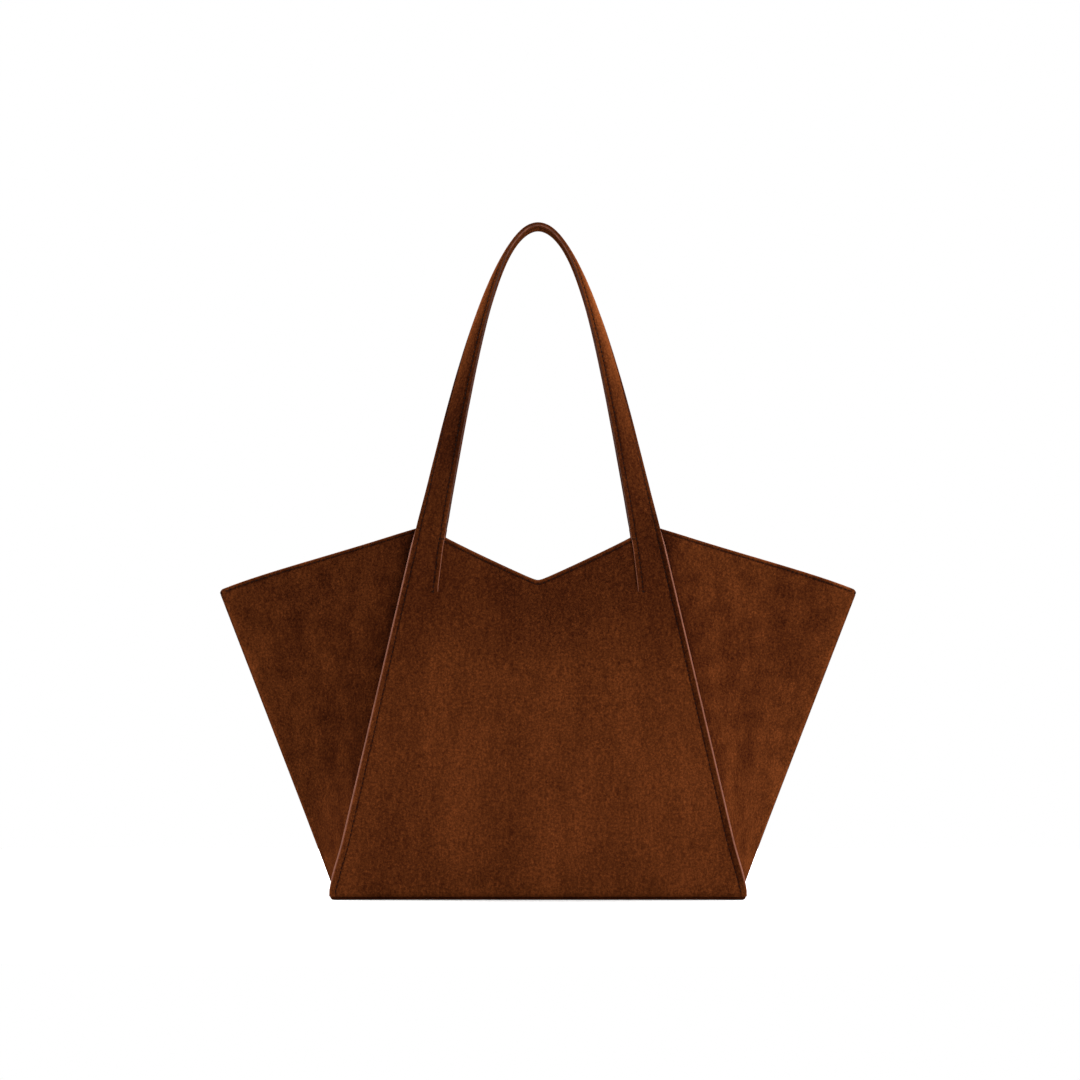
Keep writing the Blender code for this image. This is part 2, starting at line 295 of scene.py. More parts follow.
def inner_line(z):
    """X of the strap's inner edge where the strap runs down over the panel, and of the slit under it."""
    below = STRAP_ROOT_Z - z
    turn = 0.02
    share = min(max(below / turn, 0.0), 1.0)
    turned = turn * (share - share**3 + share**4 / 2)
    slit_slope, root_slope, panel_slope = 0.12, 0.10, 0.233
    slit = STRAP_INNER_X + slit_slope * min(below, STRAP_ROOT_Z - SLIT_END_Z) + root_slope * turned
    return slit + panel_slope * max(SLIT_END_Z - z, 0.0)


def seam_distance(z):
    """Distance from the panel's side edge to its seam, which is wider at the foot."""
    return mix(FLANGE_WIDTH, STRAP_SEAM, min(z / STRAP_ROOT_Z, 1.0))


def foot_spread(z):
    """How far the panel's foot spreads beyond its straight sides, which end upright."""
    upright_to, straight_from = 0.014, 0.046
    spread = FOOT_SPREAD * (1 - smoothstep(upright_to, straight_from, z))
    return min(spread, FOOT_HALF_WIDTH - panel_half_width(z))


def soft_wave(place, size, seed):
    """A smooth value from about -1 to 1 that changes over this size, the same on each run."""
    return noise.noise(Vector(place) / size + Vector((seed, seed, seed)))


def strap_lean(z):
    """Y of the strap's middle surface and its slope. It leaves the panel at the panel's own lean."""
    root_y = face_y(HINGE_Z) + SUEDE + GAP / 2
    easing = 0.02
    slope = (ARCH_TOP_Y - root_y) / (ARCH_TOP_Z - HINGE_Z)
    change = slope - math.tan(LEAN)
    rise = z - HINGE_Z
    fade = math.exp(-max(rise, 0.0) / easing)
    return root_y + slope * rise - change * rise * fade, slope - change * (1 - rise / easing) * fade


def arch_point(q):
    """The strap's middle line: q runs from -1 at one root through 0 at the top to 1 at the other root."""
    flare = (PANEL_TOP_WIDTH / 2 + STRAP_INNER_X) / 2 - ARCH_HALF_SPAN
    z = ARCH_TOP_Z - (ARCH_TOP_Z - HINGE_Z) * q * q
    return Vector((ARCH_HALF_SPAN * q + flare * q**9, strap_lean(z)[0], z))


def strap_twist(q):
    """How far the strap has turned edge-on: quickly at its root, and almost fully well before the top."""
    along = max(1 - abs(q), 0.0)
    turn = math.radians(TWIST_AT_ROOT * along**0.45 + TWIST_HIGHER_UP * along**3)
    limit = math.radians(TWIST_LIMIT)
    softness = 0.05
    return limit - softness * math.log1p(math.exp((limit - turn) / softness))


def strap_frame(q):
    """The twisted strap's middle point, tangent, direction of the inner edge and outward face direction."""
    step = 0.0005
    middle = arch_point(q)
    tangent = (arch_point(q + step) - arch_point(q - step)).normalized()
    forward = Vector((0.0, -1.0, strap_lean(middle.z)[1])).normalized()
    inward = tangent.cross(forward)
    if inward.dot(Vector((0.0, middle.y, HINGE_Z)) - middle) < 0:
        inward.negate()
    twist = strap_twist(q)
    edge = inward * math.cos(twist) + forward * math.sin(twist)
    outward = forward * math.cos(twist) - inward * math.sin(twist)
    return middle, tangent, edge, outward


def strap_point(q, across, height):
    """A point of the strap. Across is -1 at its outer edge and 1 at its inner one. The roots end level."""
    middle, tangent, edge, outward = strap_frame(q)
    place = middle + edge * (across * STRAP_WIDTH / 2) + outward * height
    level = smoothstep(SQUARE_END, 1.0, abs(q))
    slide = (middle.z - place.z) / tangent.z if level > 0 else 0.0
    return place + tangent * slide * level


class Station:
    """One place along the strip of suede that runs up a panel's side, over the arch and down again.

    On the panel it is given by its side and height, on the strap by q, as arch_point takes it. Distances are
    measured from the strip's outer edge.
    """

    def __init__(self, side=0, z=None, q=None):
        self.side, self.q = side, q
        self.on_strap = q is not None
        if self.on_strap:
            self.z = arch_point(q).z
            self.seam = STRAP_SEAM
            self.turned = 0.0
            self.inset = PAINT
            self.width = STRAP_WIDTH - 2 * PAINT
        else:
            self.z = z
            self.seam = seam_distance(z)
            turn_start, turn_end = 0.006, 0.016
            self.turned = smoothstep(turn_start, turn_end, z)
            self.turned -= smoothstep(STRAP_ROOT_Z - turn_end, STRAP_ROOT_Z, z)
            self.inset = mix(PAINT, FLANGE_INSET, self.turned) - foot_spread(z)
            self.width = panel_half_width(z) - self.inset - inner_line(z) - PAINT * self.inner_share()

    def spot(self, distance, height):
        """The point this far from the strip's outer edge and this high over the suede's flat face."""
        if self.on_strap:
            across = 2 * (distance + PAINT) / STRAP_WIDTH - 1
            return strap_point(self.q, across, GAP / 2 + SUEDE + height)
        z = self.z + corner_lift(distance) * (1 - self.z / STRAP_ROOT_Z)
        x = panel_half_width(z) - self.inset - distance
        return Vector((self.side * x, face_y(z), z)) + PANEL_NORMAL * height

    def behind(self, distance, height, depth):
        """The point this deep behind a point of the strip, square to the strip's turned edges."""
        step = 0.0002
        slope = (self.curl(distance + step) - self.curl(distance - step)) / (2 * step)
        run = depth / math.hypot(1.0, slope)
        return self.spot(distance + slope * run, height - run)

    def dome(self, distance):
        """How far the padding lifts the leather at this distance from the outer edge."""
        if not self.on_strap:
            return 0.0
        full = STRAP_THICKNESS / 2 - SUEDE - GAP / 2
        full *= smoothstep(1 - PADDING_START, 1 - PADDING_FULL, 1 - abs(self.q))
        full *= 1 - WORN_PADDING * math.exp(-(((abs(self.q) - WORN_AT) / WORN_SPREAD) ** 2))
        padded_share = 0.72
        across = (2 * (distance + PAINT) / STRAP_WIDTH - 1) / padded_share
        return full * math.sqrt(max(1 - across * across, 0.0))

    def pinch(self, distance):
        """How far each face of the strap closes in at its painted edges."""
        if not self.on_strap:
            return 0.0
        reach = 0.0024
        from_edge = min(distance, self.width - distance)
        free = smoothstep(HINGE_Z, HINGE_Z + 0.03, self.z)
        return EDGE_PINCH * free * (1 - smoothstep(0.0, reach, from_edge))

    def inner_share(self):
        """0 where the inner edge is only a line in the panel, and 1 where it is free."""
        return 1.0 if self.on_strap else smoothstep(SLIT_END_Z - 0.001, SLIT_END_Z + 0.003, self.z)

    def raised(self, distance):
        """How far the strip lies over the mouth's edge beside the slit."""
        up = smoothstep(SLIT_END_Z - 0.010, SLIT_END_Z + 0.010, self.z)
        down = 1 - smoothstep(MOUTH_CORNER_Z, MOUTH_CORNER_Z + 0.014, self.z)
        return SLIT_STEP * up * down * (1 - smoothstep(0.0, SLIT_STEP_RUN, self.width - distance))

    def curl(self, distance):
        """How far the side seam's flange and the slit's edge turn forwards."""
        if self.on_strap:
            return 0.0
        reach = self.turned * mix(FLANGE_CURL, FLANGE_CURL_TOP, self.z / STRAP_ROOT_Z)
        slit_reach = SLIT_CURL * self.inner_share()
        slit_reach *= 1 - smoothstep(MOUTH_CORNER_Z - 0.004, STRAP_ROOT_Z, self.z)
        sharpness = 1.6
        outer = max(1 - distance / (self.seam * 0.97), 0.0) ** sharpness
        inner = max(1 - (self.width - distance) / STRAP_SEAM, 0.0) ** sharpness
        return reach * outer + slit_reach * inner

    def relief(self, distance, slack):
        """Height of the suede over its flat face."""
        from_inner = self.width - distance
        height = sewn_edge(distance, self.seam) + self.curl(distance) + self.dome(distance)
        height += sewn_edge(from_inner, STRAP_SEAM) * self.inner_share()
        height += self.raised(distance) - self.pinch(distance)
        place = self.spot(distance, 0.0)
        if self.on_strap:
            unevenness = 0.00012
            return height + unevenness * soft_wave(place, 0.02, 3.0)
        return height + panel_slack(place, slack)

    def tone(self, distance):
        """Tone of the nap: below 0 for painted shade and where the thread crushes the nap, and above 0 for
        painted highlights.
        """
        from_inner = self.width - distance
        free = self.inner_share()
        threads = thread_line(distance - self.seam) + thread_line(from_inner - STRAP_SEAM) * free
        rims = rim_highlight(distance) + rim_highlight(from_inner) * free
        # Painted shade in the stitch grooves, where the thread also crushes the nap, and round the mouth
        dark = threads + mouth_shade(self.z)
        if self.on_strap:
            # On the strap: painted light and shade across the face, and painted highlights at the edges,
            # weaker towards the top
            top_rims, root_rims = 0.4, 1.0
            return self.strap_painted_light_and_shade(distance) + rims * mix(top_rims, root_rims, abs(self.q)) - dark
        # On the panel: painted highlights at the edges, and painted shade on the side seam's flange,
        # stronger on the +X side, where the flange faces away from the key light
        flange_shade = 0.28 if self.side > 0 else 0.1
        on_flange = 1 - smoothstep(self.seam, self.seam + 0.0006, distance)
        return rims - flange_shade * self.turned * on_flange - dark

    def strap_painted_light_and_shade(self, distance):
        """Painted light and shade on the strap's face, where it turns to the side lights: lighter towards
        the outer edge and darker towards the inner one from just above the root; from the middle of the way
        up a painted highlight towards the outer edge, stronger on the +X strap; painted shade across the
        face low down on the -X strap; and a dark painted line along the outer rim on the middle of the way."""
        up = 1 - abs(self.q)
        across = distance / self.width
        # Painted highlight, stronger on the +X strap, which is nearer the key light
        light_side = 0.4 if self.q > 0 else 0.0
        outer = (1.1 * smoothstep(0.2, 0.6, up) - 0.35 + light_side) * smoothstep(0.06, 0.16, up)
        outer *= 1 - 0.6 * smoothstep(0.6, 0.8, up)
        outer *= 1 - 0.75 * across if outer > 0 else 0.75 * smoothstep(0.001, 0.004, distance)
        # Painted shade: a dark line along the outer rim
        rim = 0.7 * smoothstep(0.12, 0.25, up) * (1 - smoothstep(0.48, 0.60, up))
        rim_width = mix(0.0018, 0.0040, smoothstep(0.2, 0.42, up))
        rim *= 1 - smoothstep(rim_width, rim_width + 0.0012, distance)
        return smoothstep(0.02, 0.4, up) * (0.35 - 0.75 * across) + outer - rim


def thread_line(offset):
    """How much darker the nap is at this distance from a row of stitches: crushed by the thread, and painted
    shade in the thread's groove.
    """
    crush, spread = 0.35, 0.0006
    return crush * math.exp(-((offset / spread) ** 2))


def rim_highlight(distance):
    """Painted highlight at this distance from a free edge."""
    brightest, spread = 0.3, 0.0007
    return brightest * math.exp(-max(distance, 0.0) / spread)


def mouth_shade(z):
    """Painted shade: the nap is a little darker round the mouth and on the straps' lower parts."""
    most = 0.28
    return most * smoothstep(0.165, 0.245, z) * (1 - smoothstep(0.33, 0.43, z))


def corner_lift(distance):
    """How far the panel's bottom edge rises at its rounded corner."""
    inside = min(max(distance, 0.0), PANEL_CORNER_RADIUS)
    run = PANEL_CORNER_RADIUS - inside
    return PANEL_CORNER_RADIUS - math.sqrt(PANEL_CORNER_RADIUS**2 - run**2)


def sewn_edge(distance, seam):
    """Height near a sewn edge: a rounded corner, a low rim, and the groove that the thread pulls in."""
    corner_run = 0.0006
    corner = -EDGE_ROUNDING * (1 - smoothstep(0.0, corner_run, distance))
    rim = RIM_RISE * math.exp(-(((distance - seam * 0.5) / (seam * 0.3)) ** 2))
    groove = -GROOVE_DEPTH * math.exp(-(((distance - seam) / GROOVE_WIDTH) ** 2))
    return corner + rim + groove


def panel_slack(place, slack):
    """The panel's soft waves, which die out at its edges and towards the straps."""
    from_side = panel_half_width(place.z) - abs(place.x)
    still = smoothstep(0.004, 0.04, from_side) * smoothstep(0.0, 0.03, place.z)
    still *= 1 - smoothstep(0.20, 0.245, place.z)
    return slack * still * (1.4 * soft_wave(place, 0.09, 1.0) + 0.5 * soft_wave(place, 0.035, 2.0))


def strip_distances(station):
    """Distances from the outer edge at which the strip has points: close together at both seams."""
    near_seam = (0.0, 0.06, 0.14, 0.3, 0.5, 0.7, 0.82, 0.9, 0.96, 1.0, 1.04, 1.1, 1.2, 1.4, 1.8)
    outer = [station.seam * share for share in near_seam]
    inner = [station.width - STRAP_SEAM * share for share in reversed(near_seam)]
    middle = spaced(outer[-1], inner[0], 7)[1:-1]
    return outer + middle + inner


def panel_heights():
    """Heights of the strip's rows on a panel, and how many of them are below the end of the slit."""
    hem_start = mouth_z(inner_line(MOUTH_CORNER_Z)) - HEM_REACH
    low = spaced(PANEL_BOTTOM, SLIT_END_Z, 54)
    high = spaced(SLIT_END_Z, hem_start, 8)[1:]
    return low + high, len(low)


def strip_stations():
    """Stations from the foot of the +X side over the arch to the foot of the -X side."""
    heights = panel_heights()[0]
    heights += spaced(heights[-1], STRAP_ROOT_Z, 4)[1:]
    rings = 170
    right = [Station(side=1, z=z) for z in heights]
    left = [Station(side=-1, z=z) for z in reversed(heights)]
    strap = [Station(q=math.sin(math.pi / 2 * (1 - 2 * ring / rings))) for ring in range(rings + 1)]
    return right, strap, left


def free_edge_stations():
    """The stations whose inner edge is free: beside the slits and on the strap."""
    return [station for station in sum(strip_stations(), []) if station.z > SLIT_END_Z - 0.0001]


def hem_profile():
    """Points over the mouth's rolled edge, as (distance below the edge, depth behind the face)."""
    groove = [(0.0024, 0.0), (0.0013, 0.0), (0.0009, 0.0001), (0.00045, 0.00036), (0.0, GROOVE_DEPTH)]
    groove += [(-0.00045, 0.00036), (-0.0009, 0.00004), (-0.0013, -RIM_RISE)]
    points = [(HEM_SEAM + reach, depth) for reach, depth in groove]
    radius = 0.0013
    for degrees in (20, 40, 60, 80):
        angle = math.radians(degrees)
        points.append((radius * (1 - math.sin(angle)), radius * (1 - math.cos(angle)) - RIM_RISE))
    points.append((0.0, LIP_DEPTH / 2))
    for degrees in (80, 55, 25, 0):
        angle = math.radians(degrees)
        points.append((radius * (1 - math.sin(angle)), LIP_DEPTH - radius * (1 - math.cos(angle))))
    points += [(0.004, LIP_DEPTH), (0.008, LIP_DEPTH)]
    return points


def hem_tone(below, depth):
    """Tone of the nap on a rolled edge: a painted highlight on the roll, and painted shade along its
    thread's groove, where the thread also crushes the nap.
    """
    if depth > LIP_DEPTH / 2:
        return 0.0
    return 0.7 * math.exp(-((below / 0.0008) ** 2)) - 1.6 * thread_line(below - HEM_SEAM)


def set_tones(mesh, tones):
    """Keeps the nap's tone, with its painted highlights and painted shade, for each of the mesh's first
    points, and none for the others.
    """
    others = [0.0] * (len(mesh.vertices) - len(tones))
    mesh.attributes.new("tone_and_painted_light", "FLOAT", "POINT").data.foreach_set("value", tones + others)


def add_piece(name, mesh, material):
    """An object at the origin that shows this mesh, smooth except at sharp edges."""
    obj = bpy.data.objects.new(name, mesh)
    bpy.context.scene.collection.objects.link(obj)
    mesh.materials.append(material)
    mesh.shade_smooth()
    sharp_from = math.radians(50)
    mesh.set_sharp_from_angle(angle=sharp_from)
    return obj


def plain_mesh(obj):
    """Turns the object, with all that its modifiers make, into a plain mesh."""
    evaluated = obj.evaluated_get(bpy.context.evaluated_depsgraph_get())
    made = bpy.data.meshes.new_from_object(evaluated)
    obj.modifiers.clear()
    obj.data = made


def turned_copy(mesh, name):
    """A copy of a front mesh, turned half round to the back."""
    copy = mesh.copy()
    copy.name = name
    copy.transform(HALF_TURN)
    return copy


def front_and_back(front, name):
    """A front mesh and its copy at the back, each with the name of its half."""
    return ("front", front), ("back", turned_copy(front, "back_" + name))


def grid_normals(rows, around=False):
    """The normal at each point of a grid, from its neighbours."""
    normals = []
    for r, row in enumerate(rows):
        line = []
        for c in range(len(row)):
            before = row[c - 1] if c > 0 or around else row[c]
            after = row[(c + 1) % len(row)] if c + 1 < len(row) or around else row[c]
            below = rows[max(r - 1, 0)][c]
            above = rows[min(r + 1, len(rows) - 1)][c]
            line.append((after - before).cross(above - below).normalized())
        normals.append(line)
    return normals


def shell_mesh(name, outer, inner, around=False):
    """A closed wall between two grids of points with the same layout."""
    shell = bmesh.new()
    front = [[shell.verts.new(point) for point in row] for row in outer]
    rear = [[shell.verts.new(point) for point in row] for row in inner]
    columns = len(outer[0])
    steps = columns if around else columns - 1
    for r in range(len(outer) - 1):
        for c in range(steps):
            n = (c + 1) % columns
            shell.faces.new((front[r][c], front[r][n], front[r + 1][n], front[r + 1][c]))
            shell.faces.new((rear[r][c], rear[r + 1][c], rear[r + 1][n], rear[r][n]))
        if not around:
            shell.faces.new((front[r][0], front[r + 1][0], rear[r + 1][0], rear[r][0]))
            shell.faces.new((front[r][-1], rear[r][-1], rear[r + 1][-1], front[r + 1][-1]))
    for c in range(steps):
        n = (c + 1) % columns
        shell.faces.new((front[0][c], rear[0][c], rear[0][n], front[0][n]))
        shell.faces.new((front[-1][c], front[-1][n], rear[-1][n], rear[-1][c]))
    return finished_mesh(name, shell)


def tube_mesh(name, rings):
    """A closed tube through rings, each of which is (points, tones), with a face over each end."""
    tube = bmesh.new()
    loops = [[tube.verts.new(point) for point in points] for points, tones in rings]
    for near, far in zip(loops, loops[1:]):
        for step in range(len(near)):
            after = (step + 1) % len(near)
            tube.faces.new((near[step], near[after], far[after], far[step]))
    tube.faces.new(list(reversed(loops[0])))
    tube.faces.new(loops[-1])
    mesh = finished_mesh(name, tube)
    set_tones(mesh, [tone for points, tones in rings for tone in tones])
    return mesh


def finished_mesh(name, shell):
    """The bmesh as a mesh whose closed surface faces outwards."""
    bmesh.ops.recalc_face_normals(shell, faces=shell.faces)
    mesh = bpy.data.meshes.new(name)
    shell.to_mesh(mesh)
    shell.free()
    return mesh


def add_node(tree, kind, settings=None, inputs=None):
    """Adds a shader or geometry node, sets its fields, and sets or links its inputs."""
    node = tree.nodes.new(kind)
    for field, value in (settings or {}).items():
        setattr(node, field, value)
    for key, value in (inputs or {}).items():
        socket = node.inputs[key]
        if isinstance(value, bpy.types.NodeSocket):
            tree.links.new(value, socket)
        else:
            socket.default_value = value
    return node


def new_material(name):
    """An empty material with its tree, its Principled shader and Object coordinates."""
    material = bpy.data.materials.new(name)
    material.use_nodes = True
    tree = material.node_tree
    shader = tree.nodes["Principled BSDF"]
    place = add_node(tree, "ShaderNodeTexCoord").outputs["Object"]
    return material, tree, shader, place


def patches(tree, place, size, detail, stretch=(1.0, 1.0, 1.0)):
    """A soft random pattern whose patches are this size in metres, times the stretch along each axis."""
    scale = [1 / (size * s) for s in stretch]
    mapped = add_node(tree, "ShaderNodeMapping", {}, {"Vector": place, "Scale": scale})
    inputs = {"Vector": mapped.outputs["Vector"], "Scale": 1.0, "Detail": detail, "Roughness": 0.6}
    return add_node(tree, "ShaderNodeTexNoise", {}, inputs).outputs["Fac"]


def weighted_sum(tree, parts):
    """The sum of (output, weight) pairs."""
    total = 0.0
    for output, weight in parts:
        inputs = {0: output, 1: weight, 2: total}
        total = add_node(tree, "ShaderNodeMath", {"operation": "MULTIPLY_ADD"}, inputs).outputs[0]
    return total


def finish_surface(tree, shader, tone, stops, values, bump=None):
    """Colours a surface by its tone, through stops of (tone, colour), and sets the shader's plain values. A
    bump is (pattern, strength, height in metres)."""
    ramp = add_node(tree, "ShaderNodeValToRGB", {}, {"Fac": tone})
    elements = ramp.color_ramp.elements
    while len(elements) < len(stops):
        elements.new(0.5)
    for element, (position, colour) in zip(elements, stops):
        element.position = position
        element.color = colour
    tree.links.new(ramp.outputs["Color"], shader.inputs["Base Color"])
    for socket, value in values.items():
        shader.inputs[socket].default_value = value
    if bump:
        relief = add_node(tree, "ShaderNodeBump", {}, dict(zip(("Height", "Strength", "Distance"), bump)))
        tree.links.new(relief.outputs["Normal"], shader.inputs["Normal"])


def darker(colour, share):
    """This share of a colour's brightness."""
    return [part * share for part in colour[:3]] + [1.0]


def suede_material():
    """Split leather with a nap that the brush has raised: matt, and cloudy where fingers have turned the
    nap. The fibres' ends catch a little light at grazing angles. The tone attribute adds painted highlights
    and painted shade."""
    found = bpy.data.materials.get("brushed_split_suede")
    if found:
        return found
    settings = bpy.context.scene.tote_suede
    material, tree, shader, place = new_material("brushed_split_suede")
    clouds = patches(tree, place, settings.cloud_size, 3.0, (0.75, 0.75, 2.0))
    sweeps = patches(tree, place, settings.cloud_size * 4, 2.0, (0.8, 0.8, 1.5))
    streaks = patches(tree, place, settings.grain_size * 3, 3.0, (1.0, 1.0, 4.0))
    mottle = patches(tree, place, settings.grain_size * 2.5, 4.0)
    grain = patches(tree, place, settings.grain_size, 2.0)
    # Painted highlights and painted shade, with nap crushed along the stitches and random patches on the
    # wings
    shade = add_node(tree, "ShaderNodeAttribute", {"attribute_name": "tone_and_painted_light"}).outputs["Fac"]
    parts = [(clouds, 0.11), (sweeps, 0.12), (streaks, 0.14), (mottle, 0.36), (grain, 0.27), (shade, 0.20)]
    stops = [
        (0.29, settings.shade_and_crush_nap),
        (0.41, settings.dark),
        (0.50, settings.middle),
        (0.60, settings.light),
        (0.73, settings.painted_highlight),
    ]
    values = {
        "Roughness": 0.95,
        "Specular IOR Level": 0.0,
        "Sheen Weight": 0.03,
        "Sheen Roughness": 0.4,
        "Sheen Tint": linear("C8703A"),
    }
    tone = weighted_sum(tree, parts)
    height = weighted_sum(tree, [(grain, 0.5), (mottle, 0.4), (streaks, 0.25)])
    finish_surface(tree, shader, tone, stops, values, (height, 0.5, 0.0005))
    return material


def edge_paint_material():
    """Acrylic edge paint, built up in coats and sanded: smooth and paler than the suede. Its tone attribute
    paints shade on it along the straps."""
    found = bpy.data.materials.get("acrylic_edge_paint")
    if found:
        return found
    settings = bpy.context.scene.tote_edge_paint
    material, tree, shader, place = new_material("acrylic_edge_paint")
    coats = patches(tree, place, 0.006, 3.0)
    painted_shade = add_node(tree, "ShaderNodeAttribute", {"attribute_name": "tone_and_painted_light"}).outputs["Fac"]
    tone = weighted_sum(tree, [(coats, 1.0), (painted_shade, 1.0)])
    paint = settings.colour
    # The darker stops serve the coats' random variation and the painted shade on the straps
    stops = [(0.18, darker(paint, 0.25)), (0.36, darker(paint, 0.78)), (0.60, paint)]
    ripple = patches(tree, place, 0.0012, 2.0)
    values = {"Roughness": 0.6, "Specular IOR Level": 0.12}
    finish_surface(tree, shader, tone, stops, values, (ripple, 0.25, 0.0002))
    return material


def thread_material():
    """Twisted polyester thread: fine bright and dark bands where the plies turn."""
    found = bpy.data.materials.get("twisted_polyester_thread")
    if found:
        return found
    settings = bpy.context.scene.tote_thread
    material, tree, shader, place = new_material("twisted_polyester_thread")
    turns = add_node(tree, "ShaderNodeMapping", {}, {"Vector": place, "Rotation": (0.6, 0.5, 0.4)})
    band_inputs = {"Vector": turns.outputs["Vector"], "Scale": 520.0, "Distortion": 1.0}
    bands = add_node(tree, "ShaderNodeTexWave", {}, band_inputs).outputs["Fac"]
    stops = [(0.2, darker(settings.colour, 0.55)), (0.8, settings.colour)]
    finish_surface(tree, shader, bands, stops, {"Roughness": 0.85, "Specular IOR Level": 0.1})
    return material


def lining_material():
    """Cotton twill: diagonal ribs about a millimetre apart, drawn a little coarse so that they show."""
    found = bpy.data.materials.get("cotton_twill_lining")
    if found:
        return found
    settings = bpy.context.scene.tote_lining
    material, tree, shader, place = new_material("cotton_twill_lining")
    turned = add_node(tree, "ShaderNodeMapping", {}, {"Vector": place, "Rotation": (0.0, 0.8, 0.0)})
    rib_inputs = {"Vector": turned.outputs["Vector"], "Scale": 330.0, "Distortion": 0.4}
    ribs = add_node(tree, "ShaderNodeTexWave", {}, rib_inputs).outputs["Fac"]
    slubs = patches(tree, place, 0.004, 3.0, (1.0, 1.0, 4.0))
    tone = weighted_sum(tree, [(ribs, 0.35), (slubs, 0.65)])
    stops = [(0.25, darker(settings.colour, 0.6)), (0.65, settings.colour)]
    values = {"Roughness": 0.85, "Sheen Weight": 0.1}
    finish_surface(tree, shader, tone, stops, values, (ribs, 0.3, 0.0002))
    return material


def board_material():
    """Pressed grey board: flecked fibres, dull."""
    material, tree, shader, place = new_material("pressed_fibre_board")
    flecks = patches(tree, place, 0.0015, 4.0)
    stops = [(0.35, linear("6B6258")), (0.65, linear("9A9184"))]
    finish_surface(tree, shader, flecks, stops, {"Roughness": 0.9})
    return material


def suede_mesh(slack):
    """The front panel and the strap that grows out of it, as one sheet with a slit at each strap."""
    sheet = bmesh.new()
    tone = sheet.verts.layers.float.new("tone_and_painted_light")
    right, strap, left = strip_stations()
    slit_rows = panel_heights()[1]
    strip = []
    for station in right + strap + left:
        row = []
        for distance in strip_distances(station):
            vertex = sheet.verts.new(station.spot(distance, station.relief(distance, slack)))
            vertex[tone] = station.tone(distance)
            row.append(vertex)
        strip.append(row)
    for near, far in zip(strip, strip[1:]):
        for c in range(len(near) - 1):
            sheet.faces.new((near[c], near[c + 1], far[c + 1], far[c]))
    right_edge = [row[-1] for row in strip[: len(right)]]
    left_edge = [row[-1] for row in reversed(strip[-len(left) :])]
    add_panel_middle(sheet, tone, {1: right_edge, -1: left_edge}, slit_rows, slack)
    bmesh.ops.recalc_face_normals(sheet, faces=sheet.faces)
    sheet.normal_update()
    if sum(face.normal.dot(PANEL_NORMAL) * face.calc_area() for face in sheet.faces) < 0:
        bmesh.ops.reverse_faces(sheet, faces=sheet.faces)
    mesh = bpy.data.meshes.new("front_suede")
    sheet.to_mesh(mesh)
    sheet.free()
    return mesh


def middle_shares():
    """Places across the panel's middle, from -1 at one slit to 1 at the other, closer together there."""
    half = [0.0, 0.015, 0.035, 0.06]
    half += spaced(0.06, 0.90, 22)[1:]
    half += [0.93, 0.955, 0.975, 0.99, 1.0]
    return [-share for share in reversed(half[1:])] + half


def middle_spot(share, z, depth, slack):
    """A point of the panel's middle, lowered beside the slits so that the straps lie over it."""
    x = share * inner_line(z)
    from_slit = (1 - abs(share)) * inner_line(z)
    open_share = smoothstep(SLIT_END_Z - 0.001, SLIT_END_Z + 0.003, z)
    run = 0.012
    lowered = SLIT_STEP * open_share * (1 - smoothstep(0.0, run, from_slit))
    lowered *= 1 - max(depth, 0.0) / LIP_DEPTH
    place = Vector((x, face_y(z), z))
    return place + PANEL_NORMAL * (panel_slack(place, slack) - lowered - depth)


def add_panel_middle(sheet, tone, inner, slit_rows, slack):
    """The panel between the two strips, up to the rolled edge of the mouth. Inner holds the vertices of each
    strip's inner edge, which the panel shares below the slit."""
    heights = panel_heights()[0]
    top = heights[-1]
    columns = []
    for share in middle_shares():
        edge_z = mouth_z(share * inner_line(MOUTH_CORNER_Z))
        hem_start = edge_z - HEM_REACH
        side = 1 if share > 0 else -1
        column = []
        for row, z in enumerate(heights):
            own_z = mix(PANEL_BOTTOM, hem_start, (z - PANEL_BOTTOM) / (top - PANEL_BOTTOM))
            if abs(share) == 1 and row < slit_rows:
                column.append(inner[side][row])
            else:
                column.append(sheet.verts.new(middle_spot(share, own_z, 0.0, slack)))
                column[-1][tone] = -mouth_shade(own_z)
        for below, depth in hem_profile():
            spot = middle_spot(share, edge_z - below * MOUTH_SLANT, depth, slack)
            column.append(sheet.verts.new(spot))
            column[-1][tone] = hem_tone(below, depth) - mouth_shade(edge_z)
        columns.append(column)
    for near, far in zip(columns, columns[1:]):
        for row in range(len(near) - 1):
            sheet.faces.new((near[row], far[row], far[row + 1], near[row + 1]))
    add_tuck(sheet, 1, columns[-1], slit_rows)
    add_tuck(sheet, -1, columns[0], slit_rows)


def add_tuck(sheet, side, column, slit_rows):
    """Carries the middle's edge on under the strap, beyond the slit."""
    reach = Vector((side * 0.0016, 0.0, 0.0))
    rows = column[slit_rows:]
    tucked = [sheet.verts.new(vertex.co + reach) for vertex in rows]
    sheet.faces.new((column[slit_rows - 1], rows[0], tucked[0]))
    for row in range(len(rows) - 1):
        sheet.faces.new((rows[row], rows[row + 1], tucked[row + 1], tucked[row]))


def backing_edges(station):
    """Distances from the strip's outer edge at which the rear strap starts and ends."""
    if station.on_strap:
        wide = smoothstep(HINGE_Z, HINGE_Z + 0.006, station.z)
        return BACKING_INSET * (1 - wide), station.width
    wide = smoothstep(MOUTH_CORNER_Z, STRAP_ROOT_Z, station.z)
    slit_inset = 0.0030
    return BACKING_INSET, station.width - slit_inset * (1 - wide)


